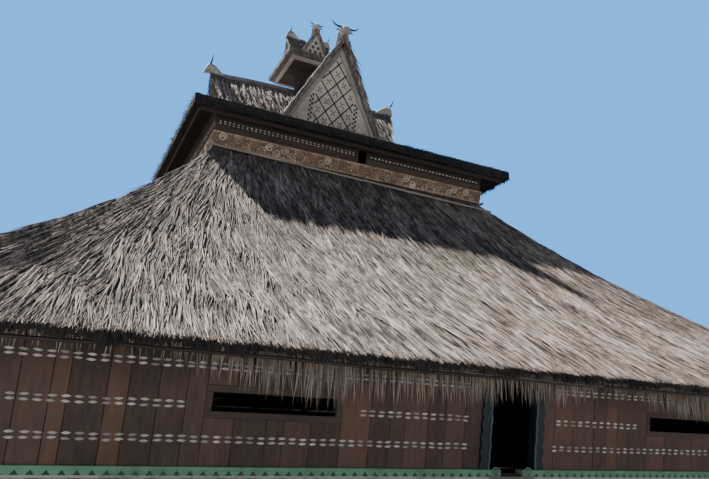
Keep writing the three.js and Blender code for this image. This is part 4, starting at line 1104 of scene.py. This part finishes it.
mat_groups, barge_groups, strip_groups, check_groups = [], [], [], []
for side, (along, outward) in sides.items():
    apex = gables[side][0]
    ahead = panels.ahead(side)
    mat_half = panel_edge(side, panel_low, 0.24)
    mat = panels.point(side, [-mat_half, mat_half, 0.0], [panel_low, panel_low, apex - 0.24], -panel_sunk)
    mat_groups.append(boards(mat, ahead, 0.022, 0.003, tone=0.5))
    for hand in (-1, 1):
        board = panels.point(side, *barge_spots(hand, apex, panel_low, 0.22, barge_inner, gable_pitch), 0.004)
        barge_groups.append(boards(board, ahead, 0.062, 0.008, tone=0.55 + 0.1 * hand))
        bead = panels.point(side, [hand * panel_edge(side, panel_low, 0.26), 0.012 * hand],
                            [panel_low, apex - 0.28], 0.006)
        beside = np.cross(ahead, unit(bead[1] - bead[0]))
        barge_groups.append(carried(bead, beside, ahead, plank_outline(0.03, 0.02, 0.005), tone=0.2))
    # Strips of the lozenge net, cut off where the net ends
    net_middle, net_drop = apex - 1.09, barge_inner + 0.05
    sample = np.linspace(-1.6, 1.6, 801)
    ends = []
    for slope in (-1, 1):
        for number in range(-9, 10):
            z = net_middle + (number + 0.5) * lozenge_high + slope * sample * lozenge_high / lozenge_wide
            net_half = np.minimum(panel_edge(side, z, net_drop), net_half_wide)
            inside = np.flatnonzero((np.abs(sample) < net_half) & (z > panel_low + 0.05))
            if len(inside) > 14:
                ends.append((sample[inside[[0, -1]]], z[inside[[0, -1]]]))
    paths = panels.point(side, *np.swapaxes(ends, 0, 1), -panel_sunk + 0.004)
    beside = np.cross(ahead, unit(paths[:, 1:] - paths[:, :1]))
    strip_groups.append(carried(paths, beside, ahead, plank_outline(0.036, 0.012, 0.004),
                                tone=chance.uniform(0.1, 0.4, len(paths))))
    # Flowers: four petals and a heart in the middle of every lozenge
    around = np.arange(4) * np.pi / 2 + np.pi / 4
    petal_along = along * np.cos(around)[:, None] + (up + panels.lean * outward) * np.sin(around)[:, None]
    petal_up = np.cross(ahead, petal_along)
    for row in range(-1, 9):
        for column in range(-2, 3):
            s = column * lozenge_wide / 2
            z = net_middle - row * lozenge_high / 2
            if (row + column) % 2 or z < panel_low + 0.2 or abs(s) > panel_edge(side, z, net_drop + 0.10):
                continue
            petals = panels.point(side, s + 0.062 * np.cos(around), z + 0.068 * np.sin(around), -panel_sunk)
            strip_groups.append(lenses(petals, petal_along, petal_up, 0.085, 0.034, 0.007, tone=0.25))
            heart = panels.point(side, s, z, -panel_sunk)
            strip_groups.append(lenses(heart, along, np.cross(ahead, along), 0.04, 0.034, 0.010, tone=0.1))
    # Chequers: two columns of small dark squares down each side of the net
    for hand in (-1, 1):
        for column in (0, 1):
            z = np.arange(panel_low + 0.12, apex - 1.50, square_pitch)[column::2, None]
            s = hand * (0.66 + 0.062 * column)
            z = z[(abs(s) + 0.06 < panel_edge(side, z, barge_inner))[:, 0]]
            if len(z):
                squares = panels.point(side, s + square_wide * np.array([-1, 0, 1, 0]),
                                       z + square_high * np.array([0, -1, 0, 1]), -panel_sunk + 0.006)
                tone = chance.uniform(0.0, 0.3, len(z))
                check_groups.append(boards(squares, ahead, 0.01, 0.004, tone))

mat_material, tree, shader, place = start_material("woven_bamboo")
mat_x, mat_y, mat_z = add_node(tree, "ShaderNodeSeparateXYZ", in_0=place).outputs
calc = partial(worked, tree)
weave_wide = 0.035


def weave_cell(value):
    """Which strip of the weave a place falls in, and how far it lies from the strip's middle."""
    scaled = calc("DIVIDE", value, weave_wide)
    off = calc("ABSOLUTE", calc("SUBTRACT", calc("FRACT", scaled), 0.5))
    return calc("FLOOR", scaled), calc("MULTIPLY", off, 2.0)


across_cell, across_off = weave_cell(calc("ADD", mat_x, mat_y))
height_cell, height_off = weave_cell(mat_z)
weave_over = calc("FLOORED_MODULO", calc("ADD", across_cell, height_cell), 2.0)
weave_off = calc("ADD", calc("MULTIPLY", weave_over, across_off),
                   calc("MULTIPLY", calc("SUBTRACT", 1.0, weave_over), height_off))
weave_height = calc("SUBTRACT", 1.0, calc("POWER", weave_off, 3.0))
weave_cells = add_node(tree, "ShaderNodeCombineXYZ", in_0=across_cell, in_1=height_cell).outputs[0]
weave_tint = add_node(tree, "ShaderNodeTexWhiteNoise", {"noise_dimensions": "2D"}, in_0=weave_cells)
# Each strip is paler at its middle and darker towards its edges, following the weave's height: painted shade
# in the creases between strips, over a random tone for each strip
weave_tone_and_shade = calc("MULTIPLY_ADD", weave_tint.outputs[0], 0.35, calc("MULTIPLY", weave_height, 0.6))
mat_colour = ramp(tree, weave_tone_and_shade, (94, 86, 76), (194, 182, 165), (232, 220, 202))
mat_worn = stained_colour(tree, place, mat_colour, (92, 92, 70), 0.5, 1.1)
finish(tree, shader, mat_worn, 0.75, weave_height, 0.5, 0.006)
panel_nodes = [f"gable_panel_{side}" for side in sides]
add_piece("gable_mats", mat_groups, mat_material, "bamboo", *panel_nodes)
barge_wood = wood("barge_wood", [(78, 72, 66), (150, 143, 135), (194, 187, 178)], (84, 78, 72), (3, 3, 3),
                  rough=0.7)
add_piece("barge_boards", barge_groups, barge_wood, "bamboo", *panel_nodes)
net_wood = wood("dark_strips", [(34, 31, 30), (66, 60, 56), (98, 90, 84)], (50, 46, 44), (8, 8, 8))
add_piece("lozenge_strips", strip_groups + check_groups, net_wood, "bamboo", *panel_nodes)


# Ridge boards: two grey planks meet over each ridge and are pegged through the thatch. A batten lies
# beside each of them, lower down the slope.
def down_slope(path, level, pitch, middle, lift, outline, tone):
    """A board along a ridge's path, on the slope that falls by pitch along level: middle down it and
    lift off it. The path is turned round where that makes down x out run along it."""
    down, out = slope_axes(level, pitch)
    if np.dot(np.cross(down, out), path[-1] - path[0]) < 0:
        path = path[::-1]
    return carried(path + down * middle + out * lift, down, out, outline, tone)


# The plank and the batten: the middle's way down the slope, width, thickness, lift and tone
ridge_rows = ((0.10, 0.20, 0.030, 0.016, 0.35), (0.26, 0.05, 0.035, 0.024, 0.2))
ridge_groups = []
for side, (along, outward) in sides.items():
    reach = gables[side][1]
    far = np.concatenate([np.linspace(0.283, reach * 0.6, 8), np.linspace(reach * 0.65, reach - 0.05, 5)])
    crest = spot(side, 0, far, ridge_height(side, far) + 0.012)
    for hand in (-1, 1):
        for middle, wide, thick, lift, tone in ridge_rows:
            ridge_groups.append(down_slope(crest, along * hand, gable_pitch, middle, lift,
                                           plank_outline(wide, thick, 0.006), tone))
ridge_wood = wood("ridge_wood", [(58, 55, 55), (102, 98, 96), (142, 136, 132)], (58, 52, 52), (4, 4, 4))
ridge_nodes = [f"ridge_{side}" for side in sides]
add_piece("ridge_boards", ridge_groups, ridge_wood, "ridge", *ridge_nodes)

# Buffalo heads: one on the end of every ridge, shaped in palm fibre and limed white, with dark eyes,
# nostrils and ears, and real horns set into the crown.
# Each row of the skull: how far back, the middle's height, half the width and half the height
head_rows = np.array([
    (0.535, -0.115, 0.040, 0.035), (0.525, -0.105, 0.068, 0.062), (0.47, -0.075, 0.088, 0.080),
    (0.36, 0.00, 0.104, 0.105), (0.26, 0.055, 0.126, 0.132), (0.18, 0.095, 0.156, 0.156),
    (0.09, 0.135, 0.160, 0.166), (0.0, 0.155, 0.150, 0.168), (-0.06, 0.125, 0.132, 0.148),
    (-0.11, 0.07, 0.112, 0.118), (-0.145, 0.0, 0.085, 0.085), (-0.155, -0.02, 0.045, 0.045),
])
# Each point of a horn: how far beside the head and how high, and then the radii there
horn_rows = np.array([(0.07, 0.235), (0.16, 0.215), (0.25, 0.22), (0.33, 0.25), (0.39, 0.30), (0.43, 0.38)])
horn_thick = np.array([0.031, 0.030, 0.027, 0.022, 0.015, 0.005])[:, None, None]
head_turn = np.linspace(0, 2 * np.pi, 20, endpoint=False)


def buffalo_head(place, side, size, horn_scale):
    """A head at place that faces out of its side, its neck running back along the ridge: groups for the
    skull and ears, for the dark parts and for the horns. The skull is ellipses carried down the face,
    pinched to a flat brow."""
    along, outward = sides[side]
    far, middle, wide, high = (head_rows * size).T[:, :, None]
    cosine, sine = np.cos(head_turn), np.sin(head_turn)
    x = wide * cosine * (1 + 0.10 * np.cos(2 * head_turn))
    z = middle + high * sine * np.where(sine > 0, 0.92, 1.0)
    skull = [skins((place + spot(side, x, -far, z))[None], tone=0.6)]
    dark, horns = [], []
    for hand in (-1.0, 1.0):
        ear_run = unit(along * hand * 0.9 - up * 0.35 + outward * 0.1)
        eye_run = (outward * 0.7 - up) / math.hypot(1, 0.7)
        for group, spots, run, upward, long, high, thick, tone in (
            (skull, (0.19, -0.05, 0.15), ear_run, np.cross(outward, ear_run), 0.20, 0.08, 0.022, 0.5),
            (dark, (0.138, 0.045, 0.13), eye_run, np.cross(along * hand, eye_run), 0.075, 0.05, 0.02, 0.1),
            (dark, (0.035, 0.152, -0.035), along, up * hand, 0.03, 0.025, 0.012, 0.1),
        ):
            centre = place + size * spot(side, hand * spots[0], *spots[1:])
            group.append(lenses(centre, run, upward, long * size, high * size, thick * size, tone=tone))
        root = horn_rows[0]
        spots = (root + (horn_rows - root) * horn_scale) * size
        path = place + spot(side, hand * spots[:, 0], 0, spots[:, 1])
        horns.append(carried(path, np.cross(outward, heading(path)), outward,
                             pole_round * horn_thick * horn_scale, tone=0.3))
    return skull, dark, horns


small_reach = by_side(0.88, 0.77)
small_apex = 14.73
heads, darks, horns = [], [], []
for side in sides:
    apex, reach = gables[side][:2]
    for far, high, size, horn_scale in (
        (reach - (0.0 if side == "left" else 0.08), apex, 1.0, 1.0),
        (small_reach[side] - 0.10, small_apex, 0.78, 0.68),
    ):
        skull, dark, horn_pair = buffalo_head(spot(side, 0, far, high), side, size, horn_scale)
        heads += skull
        darks += dark
        horns += horn_pair
limed_fibre = wood("limed_fibre", [(104, 101, 94), (172, 169, 160), (216, 213, 204)], (74, 68, 60), (9, 9, 9),
                   stained=0.8, patch=4.5, relief=0.7, vary=1.2)
add_piece("buffalo_heads", heads, limed_fibre, "ridge", *ridge_nodes, "tower_ridge", smooth=True)
dark_spots = wood("dark_spots", [(22, 21, 20), (38, 35, 33), (56, 52, 48)], (20, 18, 18), (9, 9, 9),
                  rough=0.45)
add_piece("buffalo_eyes_and_nostrils", darks, dark_spots, "ridge", smooth=True)
horn = wood("horn", [(30, 28, 28), (58, 54, 52), (92, 86, 80)], (34, 30, 30), (22, 22, 22), rough=0.45)
add_piece("buffalo_horns", horns, horn, "ridge", smooth=True)

# Tower: a boarded shaft through the crossing carries a square soffit of red-brown boards in a frame of
# pale beams, and over it a small thatched roof with two crossing gables.
# The shaft's boards are made very dark: partly the wood's own dark brown, partly painted shade under the
# tower roof
tower_wood = wood("tower_wood", [(34, 28, 27), (54, 44, 42), (76, 62, 58)], (34, 30, 28), (10, 10, 1.5),
                  tone=0.5)
dress("tower_body", tower_wood)
soffit_half, soffit_deep, soffit_height, frame_height = 0.704, 0.785, 13.441, 13.445
soffit_groups = []
edges = np.linspace(-soffit_deep, soffit_deep, 9)
for left, right in zip(edges[:-1], edges[1:]):
    x, y = oblong(-soffit_half, soffit_half, right, left)
    outline = np.stack([x, y, np.full(4, soffit_height)], -1)
    soffit_groups.append(boards(outline, (0, 0, -1.0), 0.058, 0.005, tone=chance.uniform(0.2, 0.7)))
soffit_wood = wood("soffit_wood", [(40, 31, 30), (64, 50, 48), (84, 66, 62)], (38, 32, 31), (1.5, 12, 12))
add_piece("soffit_boards", soffit_groups, soffit_wood, "tower", "tower_soffit")
tower_beam_half, tower_beam_out = by_side(0.80, 0.785), by_side(0.8325, 0.7525)
beam_groups = []
for side, (along, outward) in sides.items():
    half = tower_beam_half[side]
    path = spot(side, [-half, half], tower_beam_out[side], frame_height)
    tone = chance.uniform(0.4, 0.8)
    beam_groups.append(carried(path, up, outward, plank_outline(0.11, 0.095, 0.008), tone))
pale_wood = wood("pale_beam_wood", [(104, 96, 90), (160, 152, 144), (190, 182, 174)], (96, 88, 82), (5, 5, 5))
add_piece("tower_beams", beam_groups, pale_wood, "ridge", "tower_frame")

# Tower roof: dark straw on the skirt and the two crossing gables, a pale board round the eave, and in
# each gable a small woven panel between grey barge boards.
tower_bed = straw_material("tower_straw_bed", bundle_stops, (48, 43, 41), patch=2.0, tone=0.22,
                           stretch=(16, 16, 4))
dress("tower_roof", tower_bed)
small_foot, small_low, small_lean = 13.65, 13.70, 0.11
small_pitch = (small_apex - small_foot) / 0.54
small_base = {side: small_reach[side] - (small_apex - small_foot) * small_lean for side in sides}
small_face = LeaningFace(small_base, None, small_foot, small_lean)
skirt_half, skirt_top, skirt_rise = 0.95, 13.668, 0.30 / 0.66
lozenge_s = np.array([0, -0.09, 0.09, -0.18, 0, 0.18, -0.09, 0.09])[:, None]
lozenge_z = np.array([14.22, 14.06, 14.06, 13.90, 13.90, 13.90, 13.76, 13.76])[:, None]
tower_straw_groups, small_mats, small_spots, small_barges, eave_boards, cap_groups = [], [], [], [], [], []
for side, (along, outward) in sides.items():
    ahead = small_face.ahead(side)
    # Straw on the skirt, then on both slopes of the gable and over the eave
    count = 750
    back = 0.64 * chance.random(count)
    s = chance.uniform(-1, 1, count) * (skirt_half - back)
    point = spot(side, s, skirt_half + 0.005 - back, skirt_top + back * skirt_rise)
    down, out = slope_axes(outward, skirt_rise)
    tower_straw_groups.append(straws(
        point, turned(down, out, chance.normal(0, 0.2, count), 0.05), out,
        np.minimum(0.28, back * 1.05 + 0.02), chance.uniform(0.018, 0.035, count), 0.1,
        chance.uniform(0.2, 0.7, count),
    ))
    for hand in (-1, 1):
        far = chance.uniform(0.0, small_reach[side], 330)
        z = chance.uniform(13.8, 14.68, 330)
        beside = (small_apex - z) / small_pitch
        keep = (beside < far + 0.03) & (far < small_base[side] + (z - small_foot) * small_lean - 0.01)
        far, z, beside = far[keep], z[keep], beside[keep]
        count = len(far)
        down, out = slope_axes(along * hand, small_pitch)
        tower_straw_groups.append(straws(
            spot(side, hand * beside, far, z), turned(down, out, chance.normal(0, 0.12, count), 0.06), out,
            np.minimum(0.25, z - skirt_top - 0.012), chance.uniform(0.02, 0.035, count), 0.12,
            chance.uniform(0.25, 0.7, count),
        ))
        s, z = barge_spots(hand, small_apex, small_low, 0.16, 0.27, small_pitch)
        small_barges.append(boards(small_face.point(side, s, z, -0.045), ahead, 0.03, 0.005, tone=0.6))
        crest = spot(side, 0, np.linspace(0.10, small_reach[side] - 0.02, 3), small_apex + 0.012)
        cap_groups.append(down_slope(crest, along * hand, small_pitch, 0.075, 0.016,
                                     plank_outline(0.15, 0.028, 0.006), tone=0.4))
    mat_half = (small_apex - 0.17 - small_low) / small_pitch
    mat = small_face.point(side, [-mat_half, mat_half, 0.0], [small_low, small_low, small_apex - 0.17], -0.06)
    small_mats.append(boards(mat, ahead, 0.012, 0.002, tone=0.5))
    # Rows of small dark lozenges on the mat, with a pale one in the middle of each
    for wide, lift, tone in ((0.062, -0.056, 0.1), (0.028, -0.052, 1.4)):
        corners = small_face.point(side, lozenge_s + wide * np.array([-1, 0, 1, 0]),
                                   lozenge_z + wide * 1.15 * np.array([0, -1, 0, 1]), lift)
        small_spots.append(boards(corners, ahead, 0.008, 0.002, tone=tone))
    path = spot(side, [-0.945, 0.945], 0.935, 13.535)
    eave_boards.append(carried(path, up, outward, plank_outline(0.06, 0.028, 0.006), tone=0.4))
    count = 380
    s = chance.uniform(-skirt_half, skirt_half, count)
    tower_straw_groups.append(hanging(
        side, spot(side, s, 0.945, chance.uniform(13.58, 13.68, count)),
        slant=chance.uniform(0.0, 0.30, count), sway=chance.normal(0, 0.25, count),
        length=chance.uniform(0.08, 0.19, count), width=chance.uniform(0.018, 0.035, count),
        tone_root=0.05, tone_tip=chance.uniform(0.08, 0.55, count),
    ))
add_piece("tower_straws", tower_straw_groups, gable_straw, "thatch")
add_piece("tower_mats", small_mats, mat_material, "bamboo")
add_piece("tower_lozenges", small_spots, net_wood, "bamboo")
add_piece("tower_barge_boards", small_barges, barge_wood, "bamboo")
add_piece("tower_eave_boards", eave_boards, fascia_wood, "tower")
add_piece("tower_caps", cap_groups, ridge_wood, "ridge", "tower_ridge")
